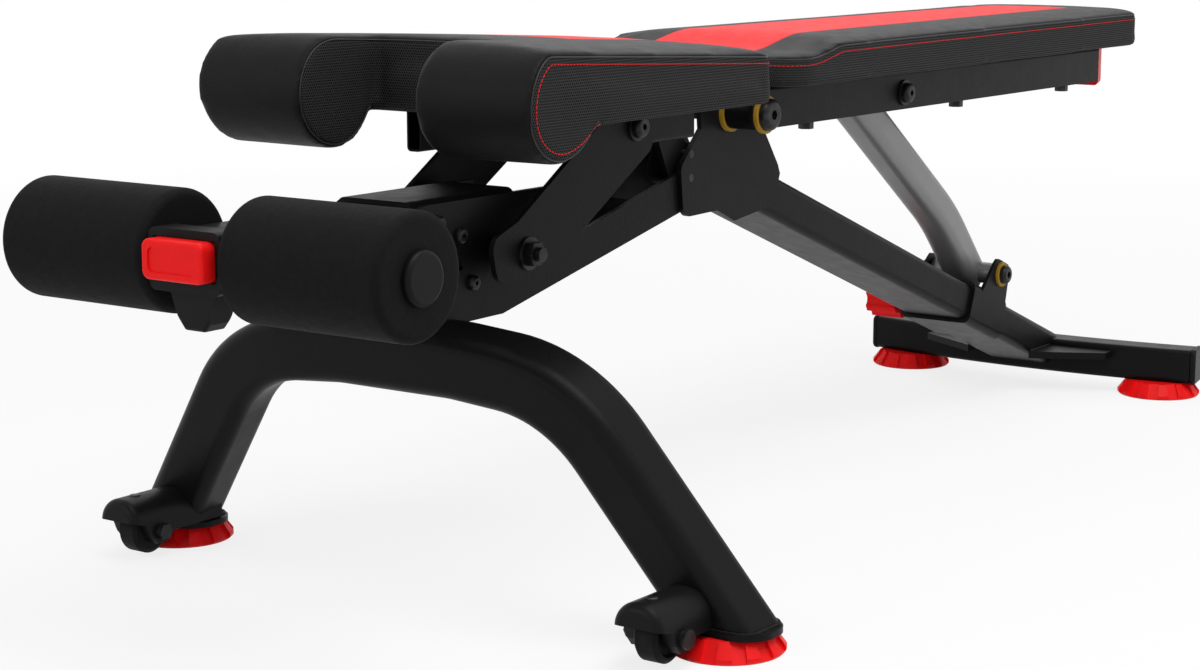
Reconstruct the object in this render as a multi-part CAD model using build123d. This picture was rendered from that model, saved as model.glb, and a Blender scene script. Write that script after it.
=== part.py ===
from build123d import *
import math
import os

os.makedirs("parts", exist_ok=True)

# Driving dimensions in millimetres. X runs from the leg rollers to the head end, Y to the left, Z up.
FOOT_D = 95.0
FOOT_H = 17.0
FOOT_LOBES = 12
FRONT_FOOT_Y = 299.0
REAR_FOOT_Y = 166.0
STUD_D = 10.0
FOOT_PLATE_T = 5.0
ARCH_CROWN_Z = 210.0
ARCH_SHOULDER_Y = 169.0
ARCH_SHOULDER_Z = 201.0
ARCH_FLAT_Y = 60.0
ARCH_SPLAY = 53.8
ARCH_LEAN = 34.0
ARCH_BEND = 130.0
ARCH_H = 57.0
ARCH_W = 52.0
TUBE_WALL = 2.5
PLATE_T = 5.0
RECEIVER_X0 = -68.0
RECEIVER_X1 = 66.0
RECEIVER_WALL = 4.5
POST_W = 70.0
POST_H = 40.0
POST_Z = 316.0
POST_X0 = -275.0
POST_X1 = 60.0
ROLLER_X = -244.0
ROLLER_D = 97.0
ROLLER_IN = 38.0
ROLLER_OUT = 194.0
ROLLER_TUBE_D = 25.0
BUTTON_X0 = -298.0
BUTTON_W = 63.0
BUTTON_H = 31.0
BUTTON_Z = 317.5
BUTTON_TRAVEL = 6.0
PIVOT_X = 385.0
PIVOT_Z = 382.0
AXLE_D = 16.0
SLEEVE_D = 30.0
TILT_MAX = 85.0
TUBE_W = 80.0
TUBE_H = 40.0
TUBE_TOP_X = 478.0
TUBE_TOP_Z = 316.0
TUBE_SLOPE = 21.04
BAR_X = 1140.0
BAR_BOW = 20.0
BAR_HALF = 205.0
BAR_S = 40.0
SEAT_HALF = 177.0
SEAT_X1 = 262.0
SEAT_TOP_REAR = 455.0
SEAT_THICK = 50.0
ROLL_X = -43.0
ROLL_Z = 424.0
ROLL_R = 47.5
ROLL_IN = 61.0
BOARD_T = 11.0
BACK_X0 = 368.0
BACK_X1 = 1190.0
BACK_HALF_SEAT = 133.0
BACK_HALF_HEAD = 116.0
BACK_TOP = 452.0
BACK_BASE = 408.0
LIP_TOP = 438.0
CHANNEL_HALF = 88.0
CHANNEL_H = 40.0
CHANNEL_T = 4.0
CHANNEL_X0 = 365.0
CHANNEL_X1 = 1125.0
STRUT_TOP_X = 655.0
STRUT_TOP_Z = 385.0
STRUT_FOOT_X = 975.0
STRUT_FOOT_Z = 154.0
STRUT_W = 40.0
STRUT_H = 40.0
CARRIAGE_RUN = 382.0
WHEEL_X = -66.0
WHEEL_Y = 280.0
WHEEL_Z = 25.0
WHEEL_R = 22.0

# Clearances between pieces that move past each other.
SLIDE = 0.4
RUN = 0.05
HOLE = 0.3
GAP = 0.3
SEATED = 0.05

# Derived places.
SEAT_BASE_Z = SEAT_TOP_REAR - SEAT_THICK
REAR_FOOT_X = BAR_X + BAR_BOW * (REAR_FOOT_Y / BAR_HALF) ** 2
ORIGIN_X = (BUTTON_X0 + REAR_FOOT_X + FOOT_D / 2) / 2
SLOPE = math.radians(TUBE_SLOPE)
TUBE_DIR = Vector(math.cos(SLOPE), 0, -math.sin(SLOPE))
TUBE_UP = Vector(math.sin(SLOPE), 0, math.cos(SLOPE))
TUBE_TOP = Vector(TUBE_TOP_X, 0, TUBE_TOP_Z)
FRAME_Y = TUBE_W / 2
PLATE_Y = FRAME_Y + PLATE_T
CENTRE_Y = PLATE_Y + PLATE_T
WEB_Z = BACK_BASE - CHANNEL_T
FOOT_Q = Vector(STRUT_FOOT_X, 0, STRUT_FOOT_Z) - TUBE_TOP
Q_U = FOOT_Q.dot(TUBE_DIR)
Q_V = FOOT_Q.dot(TUBE_UP)
PIN_U = Q_U - 27.0
PIN_V = -TUBE_H / 2


def along_y(points, y0, y1):
    """Prism of an outline in X and Z between two Y stations."""
    outline = Polyline(*[(x, y0, z) for x, z in points], close=True)
    return extrude(make_face(outline), amount=y1 - y0, dir=(0, 1, 0))


def along_z(points, z0, z1):
    """Prism of an outline in X and Y between two heights."""
    outline = Polyline(*[(x, y, z0) for x, y in points], close=True)
    return extrude(make_face(outline), amount=z1 - z0, dir=(0, 0, 1))


def rod(x, z, d, y0, y1):
    """Round bar along Y."""
    plane = Plane(origin=(x, y0, z), x_dir=(1, 0, 0), z_dir=(0, 1, 0))
    return extrude(plane * Circle(d / 2), amount=y1 - y0)


def ring(x, z, d_out, d_in, y0, y1):
    """Round tube along Y."""
    return rod(x, z, d_out, y0, y1) - rod(x, z, d_in, min(y0, y1) - 1, max(y0, y1) + 1)


def soften(part, axis, radius, where=None):
    """Round the straight edges that run along one axis."""
    edges = part.edges().filter_by(axis)
    if where:
        edges = edges.filter_by(where)
    return fillet(edges, radius)


def mirrored(part):
    return mirror(part, about=Plane.XZ)


def group(parts):
    """Separate solids kept together as one node."""
    return Compound([solid for part in parts for solid in part.solids()])


def pair(part):
    return group([part, mirrored(part)])


def button_bolt(x, z, y_face, d, length, head_d, head_h):
    """Domed socket bolt on the +Y side, its head standing on y_face."""
    shank = rod(x, z, d, y_face - length, y_face + 1)
    head = rod(x, z, head_d, y_face + SEATED, y_face + head_h)
    rim = head.faces().sort_by(Axis.Y)[-1].edges()
    head = fillet(rim, head_h * 0.6)
    plane = Plane(origin=(x, y_face + head_h * 0.35, z), x_dir=(1, 0, 0), z_dir=(0, 1, 0))
    socket = extrude(plane * RegularPolygon(d * 0.32, 6), amount=head_h)
    return shank + head - socket


def on_tube(u, v, y=0.0):
    """Point at u along the rear tube and v above its top face."""
    return TUBE_TOP + TUBE_DIR * u + TUBE_UP * v + Vector(0, y, 0)


def box_tube(plane, w, h, wall, radius, length):
    """Rounded rectangular tube grown along the plane's normal."""
    skin = RectangleRounded(w, h, radius) - RectangleRounded(w - 2 * wall, h - 2 * wall, radius - wall)
    return extrude(plane * skin, amount=length)


nodes = {}

# Scalloped flared feet with studs.
def foot(x, y):
    r = FOOT_D / 2
    flare = 9.0
    rim = 5.0
    profile = Polyline(
        (0, 0), (r - 2, 0), (r, 2), (r, rim), (r - flare, FOOT_H), (0, FOOT_H), close=True
    )
    body = revolve(make_face(Plane.XZ * profile), Axis.Z)
    slant = math.degrees(math.atan2(flare, FOOT_H - rim))
    notch = Pos(r - 0.6, 0, rim + 2.4) * Rot(0, -slant, 0) * Box(8, 12, 90)
    for i in range(FOOT_LOBES):
        body -= Rot(0, 0, 360 * (i + 0.5) / FOOT_LOBES) * notch
    stud = Cylinder(STUD_D / 2, 14, align=(Align.CENTER, Align.CENTER, Align.MIN))
    return Pos(x, y, 0) * (body + Pos(0, 0, FOOT_H - 1) * stud)


nodes["front_feet"] = pair(foot(0, FRONT_FOOT_Y))
nodes["rear_feet"] = pair(foot(REAR_FOOT_X, REAR_FOOT_Y))

# Foot plates that carry the arch legs.
plate_top = FOOT_H + FOOT_PLATE_T
foot_plate = extrude(Plane.XY.offset(FOOT_H) * RectangleRounded(60, 90, 26), amount=FOOT_PLATE_T)
foot_plate -= Pos(0, 0, FOOT_H) * Cylinder(STUD_D / 2 + HOLE, 20)
nodes["front_foot_plates"] = pair(Pos(0, FRONT_FOOT_Y, 0) * foot_plate)

# Front arch of rounded box tube, leaning forward, its legs cut level on the foot plates.
def arch_x(z):
    return -ARCH_LEAN * (z - plate_top) / (ARCH_CROWN_Z - plate_top)


leg_y = ARCH_SHOULDER_Y + ARCH_SHOULDER_Z / math.tan(math.radians(ARCH_SPLAY))
arch_half = [
    (arch_x(ARCH_CROWN_Z), ARCH_FLAT_Y, ARCH_CROWN_Z),
    (arch_x(ARCH_SHOULDER_Z), ARCH_SHOULDER_Y, ARCH_SHOULDER_Z),
    (arch_x(0), leg_y, 0),
]
arch_points = [(x, -y, z) for x, y, z in reversed(arch_half)] + arch_half
arch_path = FilletPolyline(*arch_points, radius=ARCH_BEND)
arch_tilt = Vector(ARCH_CROWN_Z - plate_top, 0, ARCH_LEAN).normalized()
arch_plane = Plane(origin=arch_path @ 0, x_dir=arch_tilt, z_dir=arch_path % 0)
arch_skin = RectangleRounded(ARCH_W, ARCH_H, 13)
arch_bore = RectangleRounded(ARCH_W - 2 * TUBE_WALL, ARCH_H - 2 * TUBE_WALL, 13 - TUBE_WALL)
arch_outer = sweep(arch_plane * arch_skin, path=arch_path)
arch = arch_outer - sweep(arch_plane * arch_bore, path=arch_path)
below = Box(400, 1400, 400, align=(Align.CENTER, Align.CENTER, Align.MAX))
arch -= Pos(0, 0, plate_top) * below
nodes["front_arch"] = arch

# Front side plates from the brace receiver back to the centre plates.
beam_low = 0.217
beam_high = 0.244
front_outline = [
    (-72, 338), (-58, 262), (-58, 220), (-14, 220), (-8, 236), (43, 236.5),
    (330, 236.5 + 287 * beam_low), (430, 286), (430, 328),
    (330, 283 + 220 * beam_high), (118, 284.5), (109, 298), (112, 338),
]
front_plate = along_y(front_outline, FRAME_Y, PLATE_Y)
front_plate = fillet(front_plate.edges().filter_by(Axis.Y).sort_by(Axis.X)[0], 14)
slot = along_y([(-33, 306), (-25, 308), (-10, 281), (-18, 279)], FRAME_Y - 5, PLATE_Y + 5)
front_plate -= slot
front_plate -= arch_outer
plate_bolt_places = [(-42, 322), (-14, 309), (2, 268)]
for bx, bz in plate_bolt_places:
    front_plate -= rod(bx, bz, 6 + 2 * HOLE, FRAME_Y - 5, PLATE_Y + 5)
rail_top = SEAT_BASE_Z - 1
LINK_A = (43.0, 290.0)
LINK_B = (200.0, rail_top - 20.0)
front_plate -= rod(*LINK_A, 12 + 2 * HOLE, FRAME_Y - 5, PLATE_Y + 5)
lug_bolt_places = [(322, 326), (322, 348)]
for bx, bz in lug_bolt_places:
    front_plate -= rod(bx, bz, 8 + 2 * HOLE, FRAME_Y - 5, PLATE_Y + 5)
nodes["front_plate_left"] = front_plate
nodes["front_plate_right"] = mirrored(front_plate)
plate_bolts = [button_bolt(bx, bz, PLATE_Y, 6, PLATE_T - 0.2, 13, 5) for bx, bz in plate_bolt_places]
nodes["plate_bolts"] = group(plate_bolts + [mirrored(b) for b in plate_bolts])

# Receiver tube that the leg brace slides into.
receiver_h = POST_H + 2 * (RECEIVER_WALL + SLIDE)
receiver_plane = Plane(origin=(RECEIVER_X0, 0, POST_Z), x_dir=(0, 1, 0), z_dir=(1, 0, 0))
receiver = extrude(receiver_plane * RectangleRounded(TUBE_W, receiver_h, 8), amount=RECEIVER_X1 - RECEIVER_X0)
receiver_bore = RectangleRounded(POST_W + 2 * SLIDE, POST_H + 2 * SLIDE, 6)
receiver -= extrude(receiver_plane.offset(-5) * receiver_bore, amount=RECEIVER_X1 - RECEIVER_X0 + 10)
nodes["receiver_tube"] = receiver

# Web that closes the underside of the front beam.
web_low = [(70, 236.5 + 27 * beam_low), (322, 236.5 + 279 * beam_low)]
web_pts = web_low + [(x, z + 4) for x, z in reversed(web_low)]
nodes["beam_web"] = along_y(web_pts, -FRAME_Y, FRAME_Y)

# Seat link plates with spacers and bolts.
LINK_IN = 67.0
LINK_OUT = LINK_IN + PLATE_T
link_outline = [
    (-6, 305), (2, 269), (62, 267), (226, rail_top - 41), (226, rail_top - 2), (166, rail_top - 2), (30, 318)
]
link = along_y(link_outline, LINK_IN, LINK_OUT)
link_edges = link.edges().filter_by(Axis.Y)
link = fillet([e for e in link_edges if e.center().X < 20], 14)
link_edges = link.edges().filter_by(Axis.Y)
link = fillet([e for e in link_edges if e.center().X > 160], 14)
link -= rod(*LINK_A, 12 + 2 * HOLE, LINK_IN - 5, LINK_OUT + 5)
link -= rod(*LINK_B, 10 + 2 * HOLE, LINK_IN - 5, LINK_OUT + 5)
nodes["seat_link_left"] = link
nodes["seat_link_right"] = mirrored(link)
nodes["link_spacers"] = pair(ring(*LINK_A, 26, 12 + 2 * HOLE, PLATE_Y, LINK_IN))
hex_plane = Plane(origin=(LINK_A[0], LINK_OUT + 2.5, LINK_A[1]), x_dir=(1, 0, 0), z_dir=(0, 1, 0))
low_bolt = rod(*LINK_A, 12, FRAME_Y + 0.3, LINK_OUT + 16)
low_bolt += rod(*LINK_A, 28, LINK_OUT + SEATED, LINK_OUT + 2.5)
low_bolt += extrude(hex_plane * RegularPolygon(11, 6), amount=8)
nodes["link_bolts_lower"] = pair(low_bolt)
high_bolt = button_bolt(*LINK_B, LINK_OUT + 2.5, 10, 24, 20, 7)
high_bolt += ring(*LINK_B, 26, 9.9, LINK_OUT + SEATED, LINK_OUT + 2.5 + SEATED)
nodes["link_bolts_upper"] = pair(high_bolt)

# Seat frame: two box rails, two cross bars, rear lugs bolted to the centre plates.
RAIL_IN = CENTRE_Y + 1
rail_x0 = 54.0
rail_x1 = 300.0
rail_z0 = rail_top - 38.0
rail_plane = Plane(
    origin=(rail_x0, (RAIL_IN + LINK_IN) / 2, (rail_z0 + rail_top) / 2), x_dir=(0, 1, 0), z_dir=(1, 0, 0)
)
rail = box_tube(rail_plane, LINK_IN - RAIL_IN, rail_top - rail_z0, 2, 4, rail_x1 - rail_x0)
rail -= rod(*LINK_B, 10 + 2 * HOLE, RAIL_IN - 5, LINK_IN + 5)
nodes["seat_rail_left"] = rail
nodes["seat_rail_right"] = mirrored(rail)
cross_bars = []
for cx in (80.0, 268.0):
    plane = Plane(origin=(cx, -RAIL_IN, rail_top - 12), x_dir=(1, 0, 0), z_dir=(0, 1, 0))
    cross_bars.append(box_tube(plane, 30, 24, 2, 4, 2 * RAIL_IN))
nodes["seat_cross_bars"] = group(cross_bars)
lug_x0 = 283.0
lug_outline = [
    (lug_x0, rail_top - 2), (300, rail_top - 2), (312, rail_top - 32), (338, 347), (340, 318),
    (322, 310), (304, 318), (lug_x0, rail_top - 44),
]
LUG_IN = FRAME_Y - 6
lug = along_y(lug_outline, LUG_IN, FRAME_Y)
for bx, bz in lug_bolt_places:
    lug -= rod(bx, bz, 8 + 2 * HOLE, LUG_IN - 5, FRAME_Y + 5)
nodes["seat_lugs"] = pair(lug)
lug_bolts = []
for bx, bz in lug_bolt_places:
    lug_bolt = rod(bx, bz, 8, LUG_IN - 1, CENTRE_Y - SEATED)
    lug_bolts.append(lug_bolt + rod(bx, bz, 15, LUG_IN - 6, LUG_IN - SEATED))
nodes["lug_bolts"] = group(lug_bolts + [mirrored(b) for b in lug_bolts])

# Seat board and seat pad with two front rolls, wedge body and crown.
board_front = ROLL_X + 8
board_l = SEAT_X1 - 10 - board_front
board_w = 2 * SEAT_HALF - 24
board = Box(board_l, board_w, BOARD_T, align=(Align.MIN, Align.CENTER, Align.MIN))
seat_board = Pos(board_front, 0, rail_top) * board
seat_board -= Pos(board_front - 1, 0, rail_top) * Box(
    55, 2 * ROLL_IN + 26, 60, align=(Align.MIN, Align.CENTER, Align.CENTER)
)
seat_board = soften(seat_board, Axis.Z, 6)
nodes["seat_board"] = seat_board
roll_top = ROLL_Z + ROLL_R
seat_side = [(ROLL_X, roll_top), (SEAT_X1, SEAT_TOP_REAR), (SEAT_X1, SEAT_BASE_Z), (ROLL_X, SEAT_BASE_Z)]
seat = along_y(seat_side, -SEAT_HALF, SEAT_HALF)
seat += rod(ROLL_X, ROLL_Z, 2 * ROLL_R, -SEAT_HALF, SEAT_HALF)
seat -= Pos(6, 0, ROLL_Z) * Box(200, 2 * ROLL_IN, 200, align=(Align.MAX, Align.CENTER, Align.CENTER))
fall = (roll_top - SEAT_TOP_REAR) / (SEAT_X1 - ROLL_X)
crown_dir = Vector(1, 0, -fall).normalized()
crown_plane = Plane(
    origin=(ROLL_X - 90, 0, roll_top + 90 * fall), x_dir=(0, 1, 0), z_dir=crown_dir
)
crown_edge = Wire([
    ThreePointArc((-SEAT_HALF, -6), (0, 0.2), (SEAT_HALF, -6)).edge(),
    Line((SEAT_HALF, -6), (SEAT_HALF, -40)).edge(),
    Line((SEAT_HALF, -40), (SEAT_HALF - 5, -120)).edge(),
    Line((SEAT_HALF - 5, -120), (-SEAT_HALF + 5, -120)).edge(),
    Line((-SEAT_HALF + 5, -120), (-SEAT_HALF, -40)).edge(),
    Line((-SEAT_HALF, -40), (-SEAT_HALF, -6)).edge(),
])
seat &= extrude(crown_plane * Face(crown_edge), amount=600, dir=crown_dir)
seat = soften(seat, Axis.Z, 10, lambda e: e.center().X > SEAT_X1 - 1)
seat_recess = Pos(board_front - GAP, 0, rail_top - 2) * Box(
    board_l + 2 * GAP, board_w + 2 * GAP, BOARD_T + 2,
    align=(Align.MIN, Align.CENTER, Align.MIN),
)
knee_fill = Pos(board_front - 20, 0, rail_top) * Box(
    74 - GAP, 2 * ROLL_IN + 26 - 2 * GAP, 60, align=(Align.MIN, Align.CENTER, Align.CENTER)
)
seat_recess -= soften(knee_fill, Axis.Z, 8)
seat -= seat_recess
nodes["seat_pad"] = seat

# Centre plates that join the front beam, the rear tube and the backrest pivot.
tube_low = on_tube(0, -TUBE_H + 8)
centre_outline = [
    (304, 337), (309, 290), (366, 291), (396, 278), (tube_low.X, tube_low.Z),
    (TUBE_TOP_X, TUBE_TOP_Z), (474, 325), (447, 362), (PIVOT_X + 14, PIVOT_Z + 16),
    (PIVOT_X - 45.5, PIVOT_Z + 16), (PIVOT_X - 48.5, PIVOT_Z + 2), (PIVOT_X - 47, PIVOT_Z - 12),
]
centre = along_y(centre_outline, PLATE_Y, CENTRE_Y)
centre_edges = centre.edges().filter_by(Axis.Y)
centre = fillet([e for e in centre_edges if e.center().X < 320], 12)
centre_edges = centre.edges().filter_by(Axis.Y)
centre = fillet([e for e in centre_edges if e.center().Z > PIVOT_Z + 10 and e.center().X > PIVOT_X], 13)
centre -= rod(PIVOT_X, PIVOT_Z, AXLE_D + 2 * RUN, PLATE_Y - 5, CENTRE_Y + 5)
for bx, bz in lug_bolt_places:
    centre -= rod(bx, bz, 8 + 2 * HOLE, PLATE_Y - 5, CENTRE_Y + 5)
nodes["centre_plate_left"] = centre
nodes["centre_plate_right"] = mirrored(centre)

# Bowed rear crossbar with end caps.
bar_path = ThreePointArc(
    (BAR_X + BAR_BOW, -BAR_HALF, FOOT_H + BAR_S / 2),
    (BAR_X, 0, FOOT_H + BAR_S / 2),
    (BAR_X + BAR_BOW, BAR_HALF, FOOT_H + BAR_S / 2),
)
bar_plane = Plane(origin=bar_path @ 0, x_dir=(0, 0, 1), z_dir=bar_path % 0)
bar_skin = RectangleRounded(BAR_S, BAR_S, 6)
bar_bore = RectangleRounded(BAR_S - 2 * TUBE_WALL, BAR_S - 2 * TUBE_WALL, 6 - TUBE_WALL)
bar_outer = sweep(bar_plane * bar_skin, path=bar_path)
crossbar = bar_outer - sweep(bar_plane * bar_bore, path=bar_path)
for side in (-1, 1):
    crossbar -= Pos(REAR_FOOT_X, side * REAR_FOOT_Y, FOOT_H) * Cylinder(STUD_D / 2 + HOLE, 16)
nodes["rear_crossbar"] = crossbar
cap_plane = Plane(origin=bar_path @ 1, x_dir=(0, 0, 1), z_dir=bar_path % 1)
bar_cap = extrude(cap_plane * RectangleRounded(BAR_S + 2, BAR_S + 2, 7), amount=7)
bar_cap = fillet(bar_cap.faces().sort_by(Axis.Y)[-1].edges(), 3)
nodes["crossbar_caps"] = pair(bar_cap)

# Sloping rear tube with its row of lock holes, mitred onto the crossbar.
tube_u0 = -96.0
tube_plane = Plane(origin=on_tube(tube_u0, -TUBE_H / 2), x_dir=(0, 1, 0), z_dir=TUBE_DIR)
rear_tube = box_tube(tube_plane, TUBE_W, TUBE_H, TUBE_WALL, 8, 900)
rear_tube -= Pos(800, 0, FOOT_H + 2) * Box(1400, 300, 200, align=(Align.CENTER, Align.CENTER, Align.MAX))
rear_tube -= Pos(BAR_X, 0, 0) * Box(400, 400, 400, align=(Align.MIN, Align.CENTER, Align.CENTER))
rear_tube -= bar_outer
lock_angles = (0.0, 20.0, 35.0, 50.0, 65.0, TILT_MAX)
for angle in lock_angles:
    spot = on_tube(PIN_U - CARRIAGE_RUN * angle / TILT_MAX, PIN_V)
    rear_tube -= rod(spot.X, spot.Z, 12.8, FRAME_Y - 5, FRAME_Y + 5)
nodes["rear_tube"] = rear_tube
gusset_outline = [(BAR_X - 78, FRAME_Y), (BAR_X - 5, FRAME_Y), (BAR_X - 5, 118), (BAR_X - 34, 118)]
gusset = along_z(gusset_outline, FOOT_H + 25, FOOT_H + 33)
gusset -= bar_outer
nodes["rear_gussets"] = pair(gusset)

# Backrest pivot axle with domed heads.
AXLE_END = 92.0 + GAP
axle = rod(PIVOT_X, PIVOT_Z, AXLE_D, -AXLE_END - 1, AXLE_END + 1)
axle_head = rod(PIVOT_X, PIVOT_Z, 30, AXLE_END, AXLE_END + 8)
axle_head = fillet(axle_head.faces().sort_by(Axis.Y)[-1].edges(), 5)
socket_plane = Plane(origin=(PIVOT_X, AXLE_END + 3, PIVOT_Z), x_dir=(1, 0, 0), z_dir=(0, 1, 0))
axle_head -= extrude(socket_plane * RegularPolygon(5, 6), amount=10)
nodes["pivot_axle"] = axle + axle_head + mirrored(axle_head)

# Wheel housings: a round hood over each wheel with a lug at the axle, closed against the arch leg.
snout_x0 = WHEEL_X - 33.0
snout_top = 56.0
snout_half = 23.0
hood_face = Polyline(*[
    (snout_x0, WHEEL_Y + y, z) for y, z in (
        (-snout_half, 12), (snout_half, 12), (snout_half, snout_top), (-snout_half, snout_top)
    )
], close=True)
snout = extrude(make_face(hood_face), amount=10 - snout_x0, dir=(1, 0, 0))
snout = fillet([e for e in snout.edges().filter_by(Axis.X) if e.center().Z > 40], 21)
snout = fillet([e for e in snout.edges() if e.center().X < snout_x0 + 0.1 and e.center().Z > 18], 8)
hood_outline = [
    (12, snout_top + 1), (snout_x0 - 1, snout_top + 1), (snout_x0 - 1, 37), (WHEEL_X - 16, 33),
    (WHEEL_X - 11, 21), (WHEEL_X - 5, WHEEL_Z - 11), (WHEEL_X + 5, WHEEL_Z - 11),
    (WHEEL_X + 12, 20), (WHEEL_X + 16, plate_top + 1), (12, plate_top + 1),
]
snout &= along_y(hood_outline, WHEEL_Y - 40, WHEEL_Y + 40)
snout -= arch_outer
snout -= rod(WHEEL_X, WHEEL_Z, 2 * WHEEL_R + 6, WHEEL_Y - 12, WHEEL_Y + 12)
pocket = Box(2 * WHEEL_R + 6, 24, 40, align=(Align.CENTER, Align.CENTER, Align.MAX))
snout -= Pos(WHEEL_X, WHEEL_Y, WHEEL_Z) * pocket
snout -= rod(WHEEL_X, WHEEL_Z, 8 + 2 * HOLE, WHEEL_Y - 40, WHEEL_Y + 40)
foot_room = Box(60, 200, 100, align=(Align.MIN, Align.CENTER, Align.MAX))
snout -= Pos(-FOOT_D / 2 - GAP, WHEEL_Y, plate_top + GAP) * foot_room
SCREW_X = WHEEL_X - 10.0
screw_seat = snout_top - 2.0
snout -= Pos(SCREW_X, WHEEL_Y, screw_seat - 4) * Cylinder(2.5 + HOLE, 20)
snout -= Pos(SCREW_X, WHEEL_Y, screw_seat) * Cylinder(5 + HOLE, 10, align=(Align.CENTER, Align.CENTER, Align.MIN))
nodes["wheel_housing_left"] = snout
nodes["wheel_housing_right"] = mirrored(snout)
screw = Cylinder(5, 3, align=(Align.CENTER, Align.CENTER, Align.MIN))
screw = Pos(SCREW_X, WHEEL_Y, screw_seat + SEATED) * screw
screw = fillet(screw.faces().sort_by(Axis.Z)[-1].edges(), 1.5)
screw += Pos(SCREW_X, WHEEL_Y, screw_seat - 6) * Cylinder(2.5, 8, align=(Align.CENTER, Align.CENTER, Align.MIN))
nodes["housing_screws"] = pair(screw)
tyre = [
    (8, -11), (WHEEL_R - 3, -11), (WHEEL_R, -8), (WHEEL_R, 8), (WHEEL_R - 3, 11), (17, 11), (15, 7),
    (9, 7), (8, 11), (4 + RUN, 11), (4 + RUN, -11),
]
wheel_face = make_face(Polyline(*[(WHEEL_X + r, WHEEL_Y + y, WHEEL_Z) for r, y in tyre], close=True))
wheel = revolve(wheel_face, Axis((WHEEL_X, WHEEL_Y, WHEEL_Z), (0, 1, 0)))
nodes["wheel_left"] = wheel
nodes["wheel_right"] = mirrored(wheel)
axle_bolt = rod(WHEEL_X, WHEEL_Z, 8, WHEEL_Y - 23, WHEEL_Y + 24)
axle_bolt += rod(WHEEL_X, WHEEL_Z, 16, WHEEL_Y + 23, WHEEL_Y + 28)
nut_plane = Plane(origin=(WHEEL_X, WHEEL_Y - 23, WHEEL_Z), x_dir=(1, 0, 0), z_dir=(0, -1, 0))
axle_bolt += extrude(nut_plane * RegularPolygon(7.5, 6), amount=6)
nodes["wheel_axles"] = pair(axle_bolt)

# Backrest channel with round nose at the pivot.
chan_z0 = BACK_BASE - CHANNEL_H
half = CHANNEL_HALF
inner = half - CHANNEL_T
u_points = [
    (-half, chan_z0), (-half, BACK_BASE), (half, BACK_BASE), (half, chan_z0),
    (inner, chan_z0), (inner, WEB_Z), (-inner, WEB_Z), (-inner, chan_z0),
]
u_face = make_face(Polyline(*[(CHANNEL_X0, y, z) for y, z in u_points], close=True))
channel = extrude(u_face, amount=CHANNEL_X1 - CHANNEL_X0, dir=(1, 0, 0))
channel = fillet([e for e in channel.edges().filter_by(Axis.X) if e.center().Z > BACK_BASE - 1], 5)
nose_edges = [e for e in channel.edges().filter_by(Axis.Y) if e.center().X < CHANNEL_X0 + 1]
channel = fillet([e for e in nose_edges if e.center().Z < chan_z0 + 1], 12)
relief = rod(PIVOT_X, PIVOT_Z, 100, -CENTRE_Y - 4, CENTRE_Y + 4)
channel -= relief
channel -= rod(PIVOT_X, PIVOT_Z, SLEEVE_D + 2 * RUN, -half - 5, half + 5)
channel -= rod(STRUT_TOP_X, STRUT_TOP_Z, 10 + 2 * HOLE, -half - 5, half + 5)
PAD_BOLT_X = (440.0, 830.0, 1090.0)
PAD_BOLT_Y = 62.0
for bx in PAD_BOLT_X:
    for side in (-1, 1):
        channel -= Pos(bx, side * PAD_BOLT_Y, WEB_Z) * Cylinder(4 + HOLE, 20)
nodes["backrest_channel"] = channel
SLEEVE_IN = CENTRE_Y + GAP + 4
sleeve = ring(PIVOT_X, PIVOT_Z, SLEEVE_D, 22, SLEEVE_IN, half)
nodes["pivot_sleeves"] = pair(sleeve)
bush_in = rod(PIVOT_X, PIVOT_Z, 36, SLEEVE_IN - 4, SLEEVE_IN - SEATED)
bush_in += rod(PIVOT_X, PIVOT_Z, 22 - 2 * RUN, SLEEVE_IN - 1, SLEEVE_IN + 12)
bush_in -= rod(PIVOT_X, PIVOT_Z, AXLE_D + 2 * RUN, 0, 200)
bush_out = rod(PIVOT_X, PIVOT_Z, 36, half + SEATED, half + 4)
bush_out += rod(PIVOT_X, PIVOT_Z, 22 - 2 * RUN, half - 12, half + 1)
bush_out -= rod(PIVOT_X, PIVOT_Z, AXLE_D + 2 * RUN, 0, 200)
nodes["pivot_bushes"] = group([bush_in, bush_out, mirrored(bush_in), mirrored(bush_out)])
STRAP_X = (489.0, 800.0, 1060.0)
STRAP_BOLT_Y = half - 16.0
straps = []
for sx in STRAP_X:
    strap = Pos(sx, 0, chan_z0) * Box(36, 2 * inner, 5, align=(Align.CENTER, Align.CENTER, Align.MIN))
    for side in (-1, 1):
        strap -= Pos(sx, side * STRAP_BOLT_Y, chan_z0) * Cylinder(4 + HOLE, 30)
    straps.append(soften(strap, Axis.Z, 6))
nodes["backrest_straps"] = group(straps)
rail_bolt = button_bolt(STRUT_TOP_X, STRUT_TOP_Z, half + 2.5, 10, 8.5, 20, 7)
rail_bolt += ring(STRUT_TOP_X, STRUT_TOP_Z, 26, 9.9, half + SEATED, half + 2.5 + SEATED)
nodes["rail_bolts"] = pair(rail_bolt)

# Backrest board and pad: tapered plan, ogee at the seat end, crowned top.
def back_plan(inset):
    hs = BACK_HALF_SEAT - inset
    hh = BACK_HALF_HEAD - inset
    x0 = BACK_X0 + inset
    x1 = BACK_X1 - inset
    return [(x0, -hs), (x1, -hh), (x1, hh), (x0, hs)]


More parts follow.
